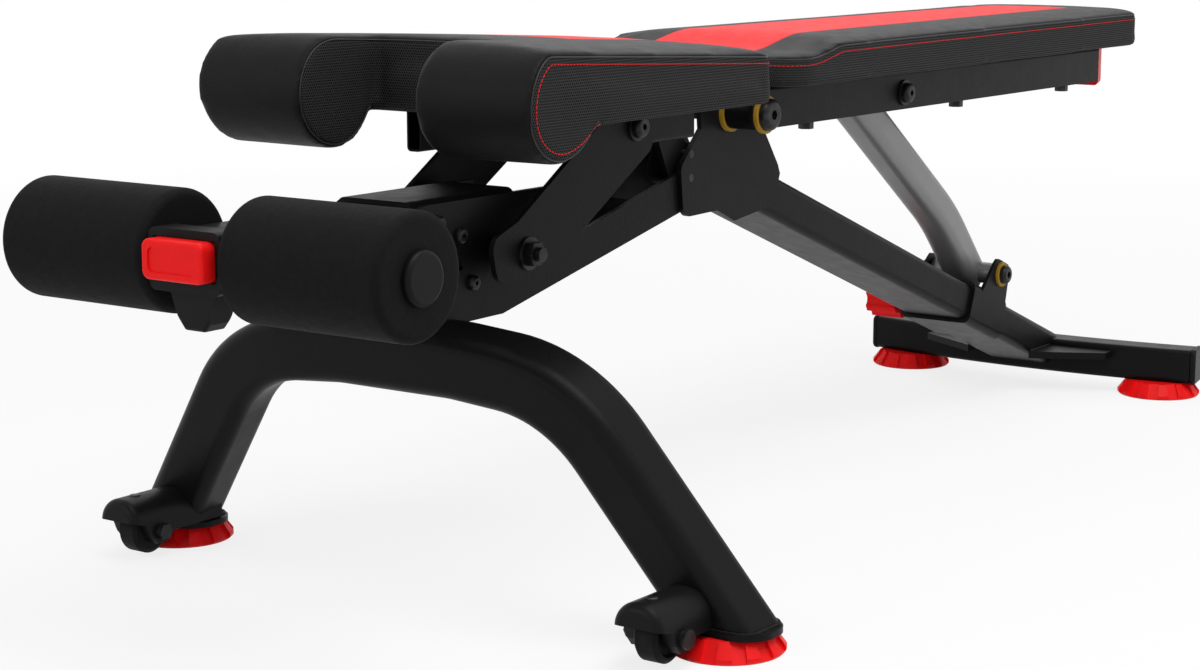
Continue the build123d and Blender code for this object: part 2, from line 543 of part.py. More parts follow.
board_inset = 14.0
back_board = along_z(back_plan(board_inset), BACK_BASE, BACK_BASE + BOARD_T)
back_board = soften(back_board, Axis.Z, 24)
back_recess = along_z(back_plan(board_inset - GAP), BACK_BASE - 5, BACK_BASE + BOARD_T)
back_recess = soften(back_recess, Axis.Z, 24)
back_board -= relief
for bx in PAD_BOLT_X:
    for side in (-1, 1):
        back_board -= Pos(bx, side * PAD_BOLT_Y, BACK_BASE) * Cylinder(4 + HOLE, 14)
nodes["backrest_board"] = back_board
ogee = Bezier((393, 0, LIP_TOP), (435, 0, LIP_TOP), (455, 0, BACK_TOP), (503, 0, BACK_TOP))
back_side = Wire([
    Line((BACK_X0, 0, BACK_BASE), (BACK_X0, 0, LIP_TOP - 12)).edge(),
    ThreePointArc(
        (BACK_X0, 0, LIP_TOP - 12), (BACK_X0 + 3.6, 0, LIP_TOP - 3.6), (BACK_X0 + 12, 0, LIP_TOP)
    ).edge(),
    Line((BACK_X0 + 12, 0, LIP_TOP), (393, 0, LIP_TOP)).edge(),
    ogee.edge(),
    Line((503, 0, BACK_TOP), (BACK_X1 - 12, 0, BACK_TOP)).edge(),
    ThreePointArc(
        (BACK_X1 - 12, 0, BACK_TOP), (BACK_X1 - 3.6, 0, BACK_TOP - 3.6), (BACK_X1, 0, BACK_TOP - 12)
    ).edge(),
    Line((BACK_X1, 0, BACK_TOP - 12), (BACK_X1, 0, BACK_BASE)).edge(),
    Line((BACK_X1, 0, BACK_BASE), (BACK_X0, 0, BACK_BASE)).edge(),
])
back = extrude(Face(back_side), amount=200, dir=(0, 1, 0), both=True)
back_plan_solid = soften(along_z(back_plan(0), BACK_BASE - 5, BACK_TOP + 20), Axis.Z, 34)
back &= back_plan_solid
drop = 5.0
back_crown = Wire([
    ThreePointArc((-BACK_HALF_SEAT - 2, -drop), (0, 0.1), (BACK_HALF_SEAT + 2, -drop)).edge(),
    Line((BACK_HALF_SEAT + 2, -drop), (BACK_HALF_SEAT + 2, -80)).edge(),
    Line((BACK_HALF_SEAT + 2, -80), (-BACK_HALF_SEAT - 2, -80)).edge(),
    Line((-BACK_HALF_SEAT - 2, -80), (-BACK_HALF_SEAT - 2, -drop)).edge(),
])
back_crown_plane = Plane(origin=(300, 0, BACK_TOP), x_dir=(0, 1, 0), z_dir=(1, 0, 0))
back &= extrude(back_crown_plane * Face(back_crown), amount=1000, dir=(1, 0, 0))
back -= back_recess
back -= relief
nodes["backrest_pad"] = back
pad_bolts = []
for bx in PAD_BOLT_X:
    head = Cylinder(8, 5, align=(Align.CENTER, Align.CENTER, Align.MIN))
    head = Pos(bx, PAD_BOLT_Y, WEB_Z - 5 - SEATED) * head
    head = fillet(head.faces().sort_by(Axis.Z)[0].edges(), 2.5)
    shank = Cylinder(4, 11, align=(Align.CENTER, Align.CENTER, Align.MIN))
    pad_bolts.append(head + Pos(bx, PAD_BOLT_Y, WEB_Z - 1) * shank)
for sx in STRAP_X:
    hex_end = Plane(origin=(sx, STRAP_BOLT_Y, chan_z0 - SEATED), x_dir=(1, 0, 0), z_dir=(0, 0, -1))
    strap_bolt = extrude(hex_end * RegularPolygon(7.5, 6), amount=8)
    shank = Cylinder(4, 12, align=(Align.CENTER, Align.CENTER, Align.MIN))
    pad_bolts.append(strap_bolt + Pos(sx, STRAP_BOLT_Y, chan_z0 - 1) * shank)
nodes["pad_bolts"] = group(pad_bolts + [mirrored(b) for b in pad_bolts])

# Red grip at the head end of the channel, with a slot for the fingers.
GRIP_X1 = CHANNEL_X1 + 40.0
grip_outline = [(CHANNEL_X1, -half), (GRIP_X1, -half + 14), (GRIP_X1, half - 14), (CHANNEL_X1, half)]
grip = along_z(grip_outline, chan_z0 - 5, BACK_BASE)
grip = fillet([e for e in grip.edges().filter_by(Axis.Z) if e.center().X > GRIP_X1 - 2], 14)
finger_outline = [
    (CHANNEL_X1 + 7, -half + 22), (GRIP_X1 - 12, -half + 27),
    (GRIP_X1 - 12, half - 27), (CHANNEL_X1 + 7, half - 22),
]
finger = along_z(finger_outline, chan_z0 - 20, BACK_BASE + 20)
finger = soften(finger, Axis.Z, 8)
grip -= finger
grip_rim = grip.faces().sort_by(Axis.Z)[0].outer_wire().edges()
grip = fillet([e for e in grip_rim if e.center().X > CHANNEL_X1 + 1], 5)
nodes["end_grip"] = grip

# Carriage: sleeve on the rear tube with two ears for the strut.
car_u0 = Q_U - 56.0
car_u1 = Q_U + 28.0
car_wall = 4.0
car_plane = Plane(origin=on_tube(car_u0, -TUBE_H / 2), x_dir=(0, 1, 0), z_dir=TUBE_DIR)
car_w = TUBE_W + 2 * (SLIDE + car_wall)
car_h = TUBE_H + 2 * (SLIDE + car_wall)
car_outer = extrude(car_plane * RectangleRounded(car_w, car_h, 9), amount=car_u1 - car_u0)
car_bore = RectangleRounded(TUBE_W + 2 * SLIDE, TUBE_H + 2 * SLIDE, 8)
car_y = car_w / 2
ear_uv = [(-19, 8), (-14, 15), (14, 15), (20, 6)]
ear_pts = [on_tube(Q_U + du, Q_V + dv) for du, dv in ear_uv]
ear_pts += [on_tube(Q_U + 27, -20), on_tube(Q_U - 46, -20)]
ear = along_y([(p.X, p.Z) for p in ear_pts], car_y - car_wall, car_y)
ear_top = [e for e in ear.edges().filter_by(Axis.Y) if e.center().Z > on_tube(Q_U, Q_V + 4).Z]
ear = fillet(ear_top, 5)
carriage = car_outer + ear + mirrored(ear)
carriage -= extrude(car_plane.offset(-5) * car_bore, amount=car_u1 - car_u0 + 10)
carriage -= rod(STRUT_FOOT_X, STRUT_FOOT_Z, 16, -100, 100)
pin_spot = on_tube(PIN_U, PIN_V)
carriage -= rod(pin_spot.X, pin_spot.Z, 12 + 2 * HOLE, FRAME_Y - 2, car_y + 5)
nodes["carriage"] = carriage
ear_in = car_y - car_wall
BUSH_RIM = 3.0
ear_bush = rod(STRUT_FOOT_X, STRUT_FOOT_Z, 28, car_y + SEATED, car_y + BUSH_RIM)
ear_bush += rod(STRUT_FOOT_X, STRUT_FOOT_Z, 16 - 2 * RUN, ear_in, car_y + 1)
ear_bush -= rod(STRUT_FOOT_X, STRUT_FOOT_Z, 12 + 2 * RUN, 0, 100)
nodes["carriage_bushes"] = pair(ear_bush)
axle_seat = car_y + BUSH_RIM + SEATED
car_axle = rod(STRUT_FOOT_X, STRUT_FOOT_Z, 12, -axle_seat - 1, axle_seat + 1)
car_head = rod(STRUT_FOOT_X, STRUT_FOOT_Z, 21, axle_seat, axle_seat + 7)
car_head = fillet(car_head.faces().sort_by(Axis.Y)[-1].edges(), 4)
car_socket = Plane(origin=(STRUT_FOOT_X, axle_seat + 3, STRUT_FOOT_Z), x_dir=(1, 0, 0), z_dir=(0, 1, 0))
car_head -= extrude(car_socket * RegularPolygon(4.2, 6), amount=10)
nodes["carriage_axle"] = car_axle + car_head + mirrored(car_head)
nodes["pin_housing"] = ring(pin_spot.X, pin_spot.Z, 26, 12 + 2 * HOLE, car_y, car_y + 14)

# Spring pin with lobed red knob.
KNOB_Y = car_y + 15.0
knob = rod(pin_spot.X, pin_spot.Z, 42, KNOB_Y, KNOB_Y + 38)
for i in range(6):
    a = math.pi * i / 3
    knob -= rod(pin_spot.X + 25 * math.cos(a), pin_spot.Z + 25 * math.sin(a), 17, KNOB_Y - 1, KNOB_Y + 40)
knob -= rod(pin_spot.X, pin_spot.Z, 12, KNOB_Y - 1, KNOB_Y + 20)
nodes["lock_knob"] = knob
nodes["lock_pin"] = rod(pin_spot.X, pin_spot.Z, 12, FRAME_Y + SLIDE, KNOB_Y + 20)

# Bent strut with lugs and cross sleeves at both ends.
strut_knee = (STRUT_FOOT_X - 72, 0, STRUT_FOOT_Z + 72)
strut_path = FilletPolyline(
    (STRUT_TOP_X + 38, 0, STRUT_TOP_Z - 11), strut_knee, (STRUT_FOOT_X + 2.4, 0, STRUT_FOOT_Z - 7.5), radius=300
)
strut_plane = Plane(origin=strut_path @ 0, x_dir=(0, 1, 0), z_dir=strut_path % 0)
strut_skin = RectangleRounded(STRUT_W, STRUT_H, 13)
strut_bore = RectangleRounded(STRUT_W - 2 * TUBE_WALL, STRUT_H - 2 * TUBE_WALL, 13 - TUBE_WALL)
strut = sweep(strut_plane * (strut_skin - strut_bore), path=strut_path)
strut_end = Plane(origin=on_tube(Q_U - 60, SLIDE + car_wall + 5), x_dir=TUBE_DIR, z_dir=-TUBE_UP)
strut -= extrude(strut_end * Rectangle(400, 200), amount=120)
strut -= rod(STRUT_FOOT_X, STRUT_FOOT_Z, 24 + 2 * RUN, -60, 60)
nodes["strut_tube"] = strut
strut_y = STRUT_W / 2
head_lug_uv = [(0, -15), (-10, 12), (13, 12), (62, -12), (44, -15)]
head_lug = along_y([(STRUT_TOP_X + dx, STRUT_TOP_Z + dz) for dx, dz in head_lug_uv], strut_y, strut_y + 5)
head_lug = fillet([e for e in head_lug.edges().filter_by(Axis.Y) if e.center().X < STRUT_TOP_X + 35], 9)
head_sleeve = ring(STRUT_TOP_X, STRUT_TOP_Z, 24, 14, -78, 78)
head_lug -= rod(STRUT_TOP_X, STRUT_TOP_Z, 20, strut_y - 5, strut_y + 10)
nodes["strut_head"] = head_sleeve + head_lug + mirrored(head_lug)
foot_reach = ear_in - GAP
foot_sleeve = ring(STRUT_FOOT_X, STRUT_FOOT_Z, 24, 12 + 2 * RUN, -foot_reach, foot_reach)
nodes["strut_foot"] = foot_sleeve

# Leg brace: post, nose moulding, roller tube with caps, release button.
post_plane = Plane(origin=(POST_X0, 0, POST_Z), x_dir=(0, 1, 0), z_dir=(1, 0, 0))
post = box_tube(post_plane, POST_W, POST_H, TUBE_WALL, 6, POST_X1 - POST_X0)
post -= rod(ROLLER_X, POST_Z, ROLLER_TUBE_D, -60, 60)
nodes["brace_post"] = post
nose_x0 = POST_X0 - 9
nose_plane = Plane(origin=(nose_x0, 0, POST_Z), x_dir=(0, 1, 0), z_dir=(1, 0, 0))
nose = extrude(nose_plane * RectangleRounded(POST_W + 4, POST_H + 8, 7), amount=22)
chin_outline = [(-26, -18), (26, -18), (15, -48), (10, -54), (-10, -54), (-15, -48)]
chin_face = Polyline(*[(nose_x0 + 8, y, POST_Z + z) for y, z in chin_outline], close=True)
chin = extrude(make_face(chin_face), amount=24, dir=(1, 0, 0))
chin = fillet([e for e in chin.edges() if e.center().Z < POST_Z - 45], 3)
nose += chin
nose -= extrude(post_plane * RectangleRounded(POST_W, POST_H, 6), amount=60)
nose -= Pos(nose_x0, 0, BUTTON_Z) * Box(40, BUTTON_W + 2 * SLIDE, BUTTON_H + 2 * SLIDE)
nodes["brace_nose"] = nose
tube_end = ROLLER_OUT + 0.5
nodes["roller_tube"] = ring(ROLLER_X, POST_Z, ROLLER_TUBE_D, ROLLER_TUBE_D - 4, -tube_end, tube_end)
end_cap = rod(ROLLER_X, POST_Z, 42, ROLLER_OUT + 0.5, ROLLER_OUT + 6.5)
end_cap = fillet(end_cap.faces().sort_by(Axis.Y)[-1].edges(), 4)
end_cap += rod(ROLLER_X, POST_Z, ROLLER_TUBE_D - 4 - 2 * RUN, ROLLER_OUT - 18, ROLLER_OUT + 1)
nodes["roller_caps"] = pair(end_cap)
foam = rod(ROLLER_X, POST_Z, ROLLER_D, ROLLER_IN, ROLLER_OUT)
foam = fillet([e for e in foam.edges() if e.geom_type == GeomType.CIRCLE], 8)
foam -= rod(ROLLER_X, POST_Z, ROLLER_TUBE_D + 2 * RUN, ROLLER_IN - 5, ROLLER_OUT + 5)
nodes["foam_roller_left"] = foam
nodes["foam_roller_right"] = mirrored(foam)
button_plane = Plane(origin=(BUTTON_X0, 0, BUTTON_Z), x_dir=(0, 1, 0), z_dir=(1, 0, 0))
button = extrude(button_plane * RectangleRounded(BUTTON_W, BUTTON_H, 7), amount=30)
button = fillet(button.faces().sort_by(Axis.X)[0].edges(), 3)
button -= extrude(button_plane * RectangleRounded(BUTTON_W - 14, BUTTON_H - 12, 5), amount=1.5)
nodes["release_button"] = button

# Origin on the floor below the middle of the bench.
shift = Location((-ORIGIN_X, 0, 0))
for name, shape in nodes.items():
    solids = [solid.moved(shift) for solid in shape.solids()]
    export_step(solids[0] if len(solids) == 1 else Compound(solids), f"parts/{name}.step")
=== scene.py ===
import bmesh
import bpy
import math
import numpy as np
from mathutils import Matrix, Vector


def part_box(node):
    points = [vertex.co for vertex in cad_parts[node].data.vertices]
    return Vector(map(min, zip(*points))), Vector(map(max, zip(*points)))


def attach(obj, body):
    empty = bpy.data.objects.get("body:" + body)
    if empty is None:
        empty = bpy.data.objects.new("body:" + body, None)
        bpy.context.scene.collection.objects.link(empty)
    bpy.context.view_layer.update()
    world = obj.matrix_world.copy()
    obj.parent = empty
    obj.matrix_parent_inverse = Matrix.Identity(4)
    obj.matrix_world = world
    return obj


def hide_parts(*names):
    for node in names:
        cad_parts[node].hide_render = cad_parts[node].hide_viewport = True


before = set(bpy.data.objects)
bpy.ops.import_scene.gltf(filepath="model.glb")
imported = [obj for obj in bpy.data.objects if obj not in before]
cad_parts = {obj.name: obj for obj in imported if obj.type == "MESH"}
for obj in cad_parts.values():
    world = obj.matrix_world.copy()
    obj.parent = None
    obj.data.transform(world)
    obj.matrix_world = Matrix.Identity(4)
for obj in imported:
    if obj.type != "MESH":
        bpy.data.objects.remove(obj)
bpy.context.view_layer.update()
scene = bpy.context.scene
scene.view_settings.view_transform = "Standard"

# The bench stands in a plain pale studio. The camera stands low at the front corner, beside the leg rollers,
# and looks along the bench with a long lens.
LENS_PIXELS, PICTURE_WIDTH, SENSOR_WIDTH = 2488.0, 1200.0, 36.0
CAMERA_AHEAD, CAMERA_ASIDE, CAMERA_HEIGHT = 1.5901, 1.3162, 0.5864
CAMERA_YAW, CAMERA_DIP = math.radians(35.633), math.radians(10.10)
NEAREST, FARTHEST = 0.05, 60.0
lens = bpy.data.cameras.new("bench_camera")
lens.sensor_width = SENSOR_WIDTH
lens.lens = SENSOR_WIDTH * LENS_PIXELS / PICTURE_WIDTH
lens.clip_start, lens.clip_end = NEAREST, FARTHEST
camera = bpy.data.objects.new("bench_camera", lens)
foot_low, foot_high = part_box("front_feet")
camera.location = ((foot_low.x + foot_high.x) / 2 - CAMERA_AHEAD, -CAMERA_ASIDE, CAMERA_HEIGHT)
gaze = Vector((math.cos(CAMERA_YAW) * math.cos(CAMERA_DIP),
               math.sin(CAMERA_YAW) * math.cos(CAMERA_DIP), -math.sin(CAMERA_DIP)))
camera.rotation_euler = gaze.to_track_quat("-Z", "Y").to_euler()
scene.collection.objects.link(camera)
scene.camera = camera


class Link:
    """One output of a finish's nodes, so that shader sums are written as plain sums."""

    def __init__(self, finish, socket):
        self.finish, self.socket = finish, socket

    def sum(self, operation, *terms):
        return self.finish.node("ShaderNodeMath", {"operation": operation}, dict(enumerate(terms)))

    def other(self, output):
        """Another output of the same node."""
        return Link(self.finish, self.socket.node.outputs[output])

    def fraction(self):
        return self.sum("FRACT", self)

    def __add__(self, term):
        return self.sum("ADD", self, term)

    def __radd__(self, term):
        return self.sum("ADD", term, self)

    def __sub__(self, term):
        return self.sum("SUBTRACT", self, term)

    def __rsub__(self, term):
        return self.sum("SUBTRACT", term, self)

    def __mul__(self, term):
        return self.sum("MULTIPLY", self, term)

    def __rmul__(self, term):
        return self.sum("MULTIPLY", term, self)

    def __truediv__(self, term):
        return self.sum("DIVIDE", self, term)

    def __mod__(self, term):
        return self.sum("MODULO", self, term)

    def __abs__(self):
        return self.sum("ABSOLUTE", self)

    def __floor__(self):
        return self.sum("FLOOR", self)


class Finish:
    """A surface finish of the bench, grown from nodes round one shader."""

    def __init__(self, name, **plain):
        self.material = bpy.data.materials.new(name)
        self.material.use_nodes = True
        self.tree = self.material.node_tree
        self.shader = self.tree.nodes["Principled BSDF"]
        for socket, value in plain.items():
            self.put(socket.replace("_", " "), value)

    def join(self, socket, value):
        if isinstance(value, Link):
            self.tree.links.new(value.socket, socket)
        elif hasattr(value, "__len__") and len(value) == 3 and socket.type == "RGBA":
            socket.default_value = (*value, 1.0)
        else:
            socket.default_value = value

    def node(self, kind, settings=None, sockets=None, out=0):
        made = self.tree.nodes.new(kind)
        for name, value in (settings or {}).items():
            setattr(made, name, value)
        for key, value in (sockets or {}).items():
            self.join(made.inputs[key], value)
        return Link(self, made.outputs[out])

    def put(self, socket, value):
        self.join(self.shader.inputs[socket], value)

    def place(self):
        return self.node("ShaderNodeTexCoord", out="Object")

    def noise(self, scale, detail):
        return self.node("ShaderNodeTexNoise", {},
                         {"Vector": self.place(), "Scale": scale, "Detail": detail}, "Fac")

    def between(self, low, high, value):
        """Value from 0 at low to 1 at high, held there outside."""
        return self.node("ShaderNodeMapRange", {"clamp": True},
                         {"Value": value, "From Min": low, "From Max": high})

    def blend(self, share, a, b):
        return self.node("ShaderNodeMix", {"data_type": "RGBA"}, {0: share, 6: a, 7: b}, 2)

    def relief(self, height, depth):
        self.put("Normal", self.node("ShaderNodeBump", {},
                                     {"Height": height, "Distance": depth, "Strength": 1.0}))


def set_up(name, mesh):
    """A mesh stood in the scene as a piece of its own."""
    made = bpy.data.objects.new(name, mesh)
    scene.collection.objects.link(made)
    return made


WHITE = (1.0, 1.0, 1.0)
FLOOR_FAR, FLOOR_PALE, FLOOR_DULL, DULL_SHARE = 14.0, (0.90, 0.90, 0.90), (0.86, 0.86, 0.87), 0.15
GLOW_SHARE, FADE_FROM, FADE_TO = 0.80, 1.0, 3.2
floor_mesh = bpy.data.meshes.new("studio_floor")
floor_corners = [(-FLOOR_FAR, -FLOOR_FAR, 0), (FLOOR_FAR, -FLOOR_FAR, 0),
                 (FLOOR_FAR, FLOOR_FAR, 0), (-FLOOR_FAR, FLOOR_FAR, 0)]
floor_mesh.from_pydata(floor_corners, [], [(0, 1, 2, 3)])
studio_floor = set_up("studio_floor", floor_mesh)
pale = Finish("studio_pale", Base_Color=FLOOR_PALE, Roughness=0.9)
floor_mesh.materials.append(pale.material)
straight = pale.node("ShaderNodeLightPath", out="Is Camera Ray")
seen = straight.sum("MAXIMUM", straight, straight.other("Is Glossy Ray"))
away = pale.node("ShaderNodeVectorMath", {"operation": "LENGTH"}, {0: pale.place()}, "Value")
faded = GLOW_SHARE + pale.between(FADE_FROM, FADE_TO, away) * (1 - GLOW_SHARE)
pale.put("Base Color", pale.blend(pale.noise(0.7, 1.0) * DULL_SHARE, FLOOR_PALE, FLOOR_DULL))
glow = pale.node("ShaderNodeEmission", {}, {"Color": WHITE, "Strength": 1.0})
lit = Link(pale, pale.shader.outputs[0])
mixed = pale.node("ShaderNodeMixShader", {}, {0: seen * faded, 1: lit, 2: glow})
pale.join(pale.tree.nodes["Material Output"].inputs["Surface"], mixed)

AIR_LIGHT, AIR_SEEN = 0.42, 1.0
world = bpy.data.worlds.new("studio_air")
world.use_nodes = True
scene.world = world
air, air_link = world.node_tree.nodes, world.node_tree.links.new
dim, bright = air["Background"], air.new("ShaderNodeBackground")
for background, strength in ((dim, AIR_LIGHT), (bright, AIR_SEEN)):
    background.inputs["Color"].default_value = (*WHITE, 1.0)
    background.inputs["Strength"].default_value = strength
ray = air.new("ShaderNodeLightPath")
either = air.new("ShaderNodeMixShader")
open_air = air.new("ShaderNodeMath")
open_air.operation = "MAXIMUM"
air_link(ray.outputs["Is Camera Ray"], open_air.inputs[0])
air_link(ray.outputs["Is Glossy Ray"], open_air.inputs[1])
for i, source in enumerate((open_air, dim, bright)):
    air_link(source.outputs[0], either.inputs[i])
air_link(either.outputs[0], air["World Output"].inputs["Surface"])

# Four softboxes light the bench, from above, from the front, from the near side and from behind. Each is a
# square sheet of light turned towards the middle of the bench.
AIMED_AT = Vector((0.0, 0.0, 0.3))
SOFTBOXES = {
    "softbox_over": {"place": (-0.5, -1.0, 2.6), "width": 1.8, "power": 47.0},
    "softbox_front": {"place": (-2.9, 0.9, 1.3), "width": 1.3, "power": 15.0},
    "softbox_side": {"place": (0.7, -2.7, 1.2), "width": 1.5, "power": 8.0},
    "softbox_back": {"place": (2.3, 1.1, 2.2), "width": 2.2, "power": 11.0},
}
for name, softbox in SOFTBOXES.items():
    lamp = bpy.data.lights.new(name, "AREA")
    lamp.size, lamp.energy = softbox["width"], softbox["power"]
    box = bpy.data.objects.new(name, lamp)
    box.location = softbox["place"]
    box.rotation_euler = (AIMED_AT - Vector(softbox["place"])).to_track_quat("-Z", "Y").to_euler()
    scene.collection.objects.link(box)

# Four scalloped feet of bright red moulded plastic, screwed tight under the foot plates and the rear
# crossbar. The knob, the release button and the end grip are moulded in the same red.
RED, RED_DEEP = (0.88, 0.007, 0.008), (0.78, 0.007, 0.008)


def paint(finish, *names):
    """Steel pieces or mouldings take a finish."""
    for name in names:
        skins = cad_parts[name].data.materials
        skins.clear()
        skins.append(finish.material)


red = Finish("red_moulding", Base_Color=RED, Roughness=0.40, IOR=1.46, Specular_IOR_Level=0.14)
flow = red.noise(9.0, 3.0)
red.put("Base Color", red.blend(red.between(0.35, 0.7, flow), RED, RED_DEEP))
red.put("Roughness", 0.34 + red.noise(120.0, 2.0) * 0.16)
red.relief(red.noise(1500.0, 1.0), 0.00008)
paint(red, "front_feet", "rear_feet", "end_grip", "lock_knob", "release_button")

# The steel frame: arch, side plates, tubes and straps, cut and welded, then coated with a fine black powder
# that leaves a slightly pebbled, satin skin.
COAT, COAT_PALE = (0.0044, 0.0044, 0.0046), (0.0070, 0.0070, 0.0073)
powder = Finish("black_powder_coat", Base_Color=COAT, Roughness=0.46, IOR=1.5, Specular_IOR_Level=0.08)
powder.put("Base Color", powder.blend(powder.noise(14.0, 4.0), COAT, COAT_PALE))
powder.put("Roughness", 0.31 + powder.noise(60.0, 3.0) * 0.14)
powder.relief(powder.noise(700.0, 2.0) + powder.noise(260.0, 1.0) * 0.5, 0.00016)
paint(powder, "front_arch", "front_foot_plates", "front_plate_left", "front_plate_right", "receiver_tube",
      "beam_web", "seat_link_left", "seat_link_right", "link_spacers", "seat_rail_left", "seat_rail_right",
      "seat_cross_bars", "seat_lugs", "centre_plate_left", "centre_plate_right", "rear_tube", "rear_crossbar",
      "rear_gussets", "backrest_channel", "pivot_sleeves", "backrest_straps", "carriage", "pin_housing",
      "brace_post", "roller_tube")

# Weld beads where the steel pieces meet: the arch on its foot plates, the gussets on the rear tube, the
# straps in the backrest channel and the pin housing on the carriage. They are laid before the powder coat
# and show through it.
WELD = {"Pitch": 0.0022, "Length": 0.0046, "Thick": 0.0042, "Finish": powder.material}
DROP_SIDES, DROP_RINGS = 6, 5
LEG_HALF_X, LEG_HALF_Y, LEG_CORNER, LEG_OUT, LEG_FROM_END = 0.026, 0.0353, 0.013, 0.001, 0.044
CORNER_STEPS = 8
GUSSET_START, GUSSET_STEP, GUSSET_POINTS = 0.004, 0.005, 11
STRAP_WIDE, MIDDLE_STRAP, STRAP_WELD, STRAP_STEPS = 0.036, 0.329, 0.026, 8
HOUSING_R, HOUSING_STEPS = 0.013, 48


def settle(piece):
    """Modifiers become plain mesh."""
    shown = piece.evaluated_get(bpy.context.evaluated_depsgraph_get())
    mesh = bpy.data.meshes.new_from_object(shown)
    piece.modifiers.clear()
    old = piece.data
    piece.data = mesh
    bpy.data.meshes.remove(old)


def line_tree(name, sizes):
    """A tree that takes a line, named sizes and a finish; so far it only has its ends."""
    tree = bpy.data.node_groups.new(name, "GeometryNodeTree")
    tree.interface.new_socket("Line", in_out="INPUT", socket_type="NodeSocketGeometry")
    for size in sizes:
        tree.interface.new_socket(size, in_out="INPUT", socket_type="NodeSocketFloat")
    tree.interface.new_socket("Finish", in_out="INPUT", socket_type="NodeSocketMaterial")
    tree.interface.new_socket("Piece", in_out="OUTPUT", socket_type="NodeSocketGeometry")
    return tree, tree.nodes.new("NodeGroupInput")


def spaced_line(tree, given, step):
    """The tree's line as a curve with its points set at an even step."""
    curve = tree.nodes.new("GeometryNodeMeshToCurve")
    spaced = tree.nodes.new("GeometryNodeResampleCurve")
    spaced.mode = "LENGTH"
    tree.links.new(given.outputs["Line"], curve.inputs["Mesh"])
    tree.links.new(curve.outputs["Curve"], spaced.inputs["Curve"])
    tree.links.new(given.outputs[step], spaced.inputs["Length"])
    return spaced.outputs["Curve"]


def finished(tree, given, shape):
    """The tree's shape made solid and smooth, in its finish, and given out."""
    for kind in ("GeometryNodeRealizeInstances", "GeometryNodeSetShadeSmooth", "GeometryNodeSetMaterial"):
        made = tree.nodes.new(kind)
        tree.links.new(shape, made.inputs["Geometry"])
        shape = made.outputs["Geometry"]
    tree.links.new(given.outputs["Finish"], made.inputs["Material"])
    tree.links.new(shape, tree.nodes.new("NodeGroupOutput").inputs["Piece"])
    return tree


def row_tree():
    """Drops of metal or stitches of thread laid along a line, one at every pitch, pinched at both ends."""
    tree, given = line_tree("laid_row", ("Pitch", "Length", "Thick"))
    add, link = tree.nodes.new, tree.links.new
    put = add("GeometryNodeInstanceOnPoints")
    link(spaced_line(tree, given, "Pitch"), put.inputs["Points"])
    drop = add("GeometryNodeMeshUVSphere")
    drop.inputs["Segments"].default_value = DROP_SIDES
    drop.inputs["Rings"].default_value = DROP_RINGS
    drop.inputs["Radius"].default_value = 0.5
    link(drop.outputs["Mesh"], put.inputs["Instance"])
    along, turn = add("GeometryNodeInputTangent"), add("FunctionNodeAlignEulerToVector")
    turn.axis = "X"
    link(along.outputs["Tangent"], turn.inputs["Vector"])
    link(turn.outputs["Rotation"], put.inputs["Rotation"])
    size = add("ShaderNodeCombineXYZ")
    for way, given_size in (("X", "Length"), ("Y", "Thick"), ("Z", "Thick")):
        link(given.outputs[given_size], size.inputs[way])
    link(size.outputs["Vector"], put.inputs["Scale"])
    return finished(tree, given, put.outputs["Instances"])


laid_row = row_tree()


def laid_along(name, lines, tree, given, body):
    """A row of drops or stitches, or a welt, along lines on one body."""
    mesh = bpy.data.meshes.new(name)
    points, edges = [], []
    for line in lines:
        first = len(points)
        points += [tuple(p) for p in line]
        edges += [(first + i, first + i + 1) for i in range(len(line) - 1)]
    mesh.from_pydata(points, edges, [])
    row = set_up(name, mesh)
    lay = row.modifiers.new("lay", "NODES")
    lay.node_group = tree
    for item in tree.interface.items_tree:
        if item.in_out == "INPUT" and item.name in given:
            lay[item.identifier] = given[item.name]
    settle(row)
    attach(row, body)


def round_loop(x, y, z, half_x, half_y, corner):
    """A level closed line round a rounded rectangle."""
    line = []
    for turn, (sx, sy) in enumerate(((1, 1), (-1, 1), (-1, -1), (1, -1))):
        for k in range(CORNER_STEPS + 1):
            a = math.pi / 2 * (turn + k / CORNER_STEPS)
            line.append((x + sx * (half_x - corner) + corner * math.cos(a),
                         y + sy * (half_y - corner) + corner * math.sin(a), z))
    return line + line[:1]


low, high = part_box("front_foot_plates")
leg_x, leg_y = (low.x + high.x) / 2, high.y - LEG_FROM_END
frame_welds = [round_loop(leg_x, side * leg_y, high.z, LEG_HALF_X + LEG_OUT, LEG_HALF_Y + LEG_OUT, LEG_CORNER)
               for side in (-1, 1)]
low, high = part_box("rear_gussets")
tube_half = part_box("rear_tube")[1].y
for side in (-1, 1):
    frame_welds.append([(low.x + GUSSET_START + GUSSET_STEP * k, side * tube_half, high.z)
                        for k in range(GUSSET_POINTS)])
laid_along("frame_welds", frame_welds, laid_row, WELD, "frame")
low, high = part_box("backrest_straps")
strap_welds = []
for middle in (low.x + STRAP_WIDE / 2, low.x + MIDDLE_STRAP, high.x - STRAP_WIDE / 2):
    for side in (-1, 1):
        strap_welds.append([(middle + STRAP_WELD * (k / STRAP_STEPS - 0.5), side * high.y, high.z)
                            for k in range(STRAP_STEPS + 1)])
laid_along("strap_welds", strap_welds, laid_row, WELD, "backrest")
low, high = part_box("pin_housing")
pin_x, pin_z = (low.x + high.x) / 2, (low.z + high.z) / 2
housing_turns = [2 * math.pi * k / HOUSING_STEPS for k in range(HOUSING_STEPS + 1)]
ring = [(pin_x + HOUSING_R * math.cos(a), low.y, pin_z + HOUSING_R * math.sin(a)) for a in housing_turns]
laid_along("housing_weld", [ring], laid_row, WELD, "carriage")

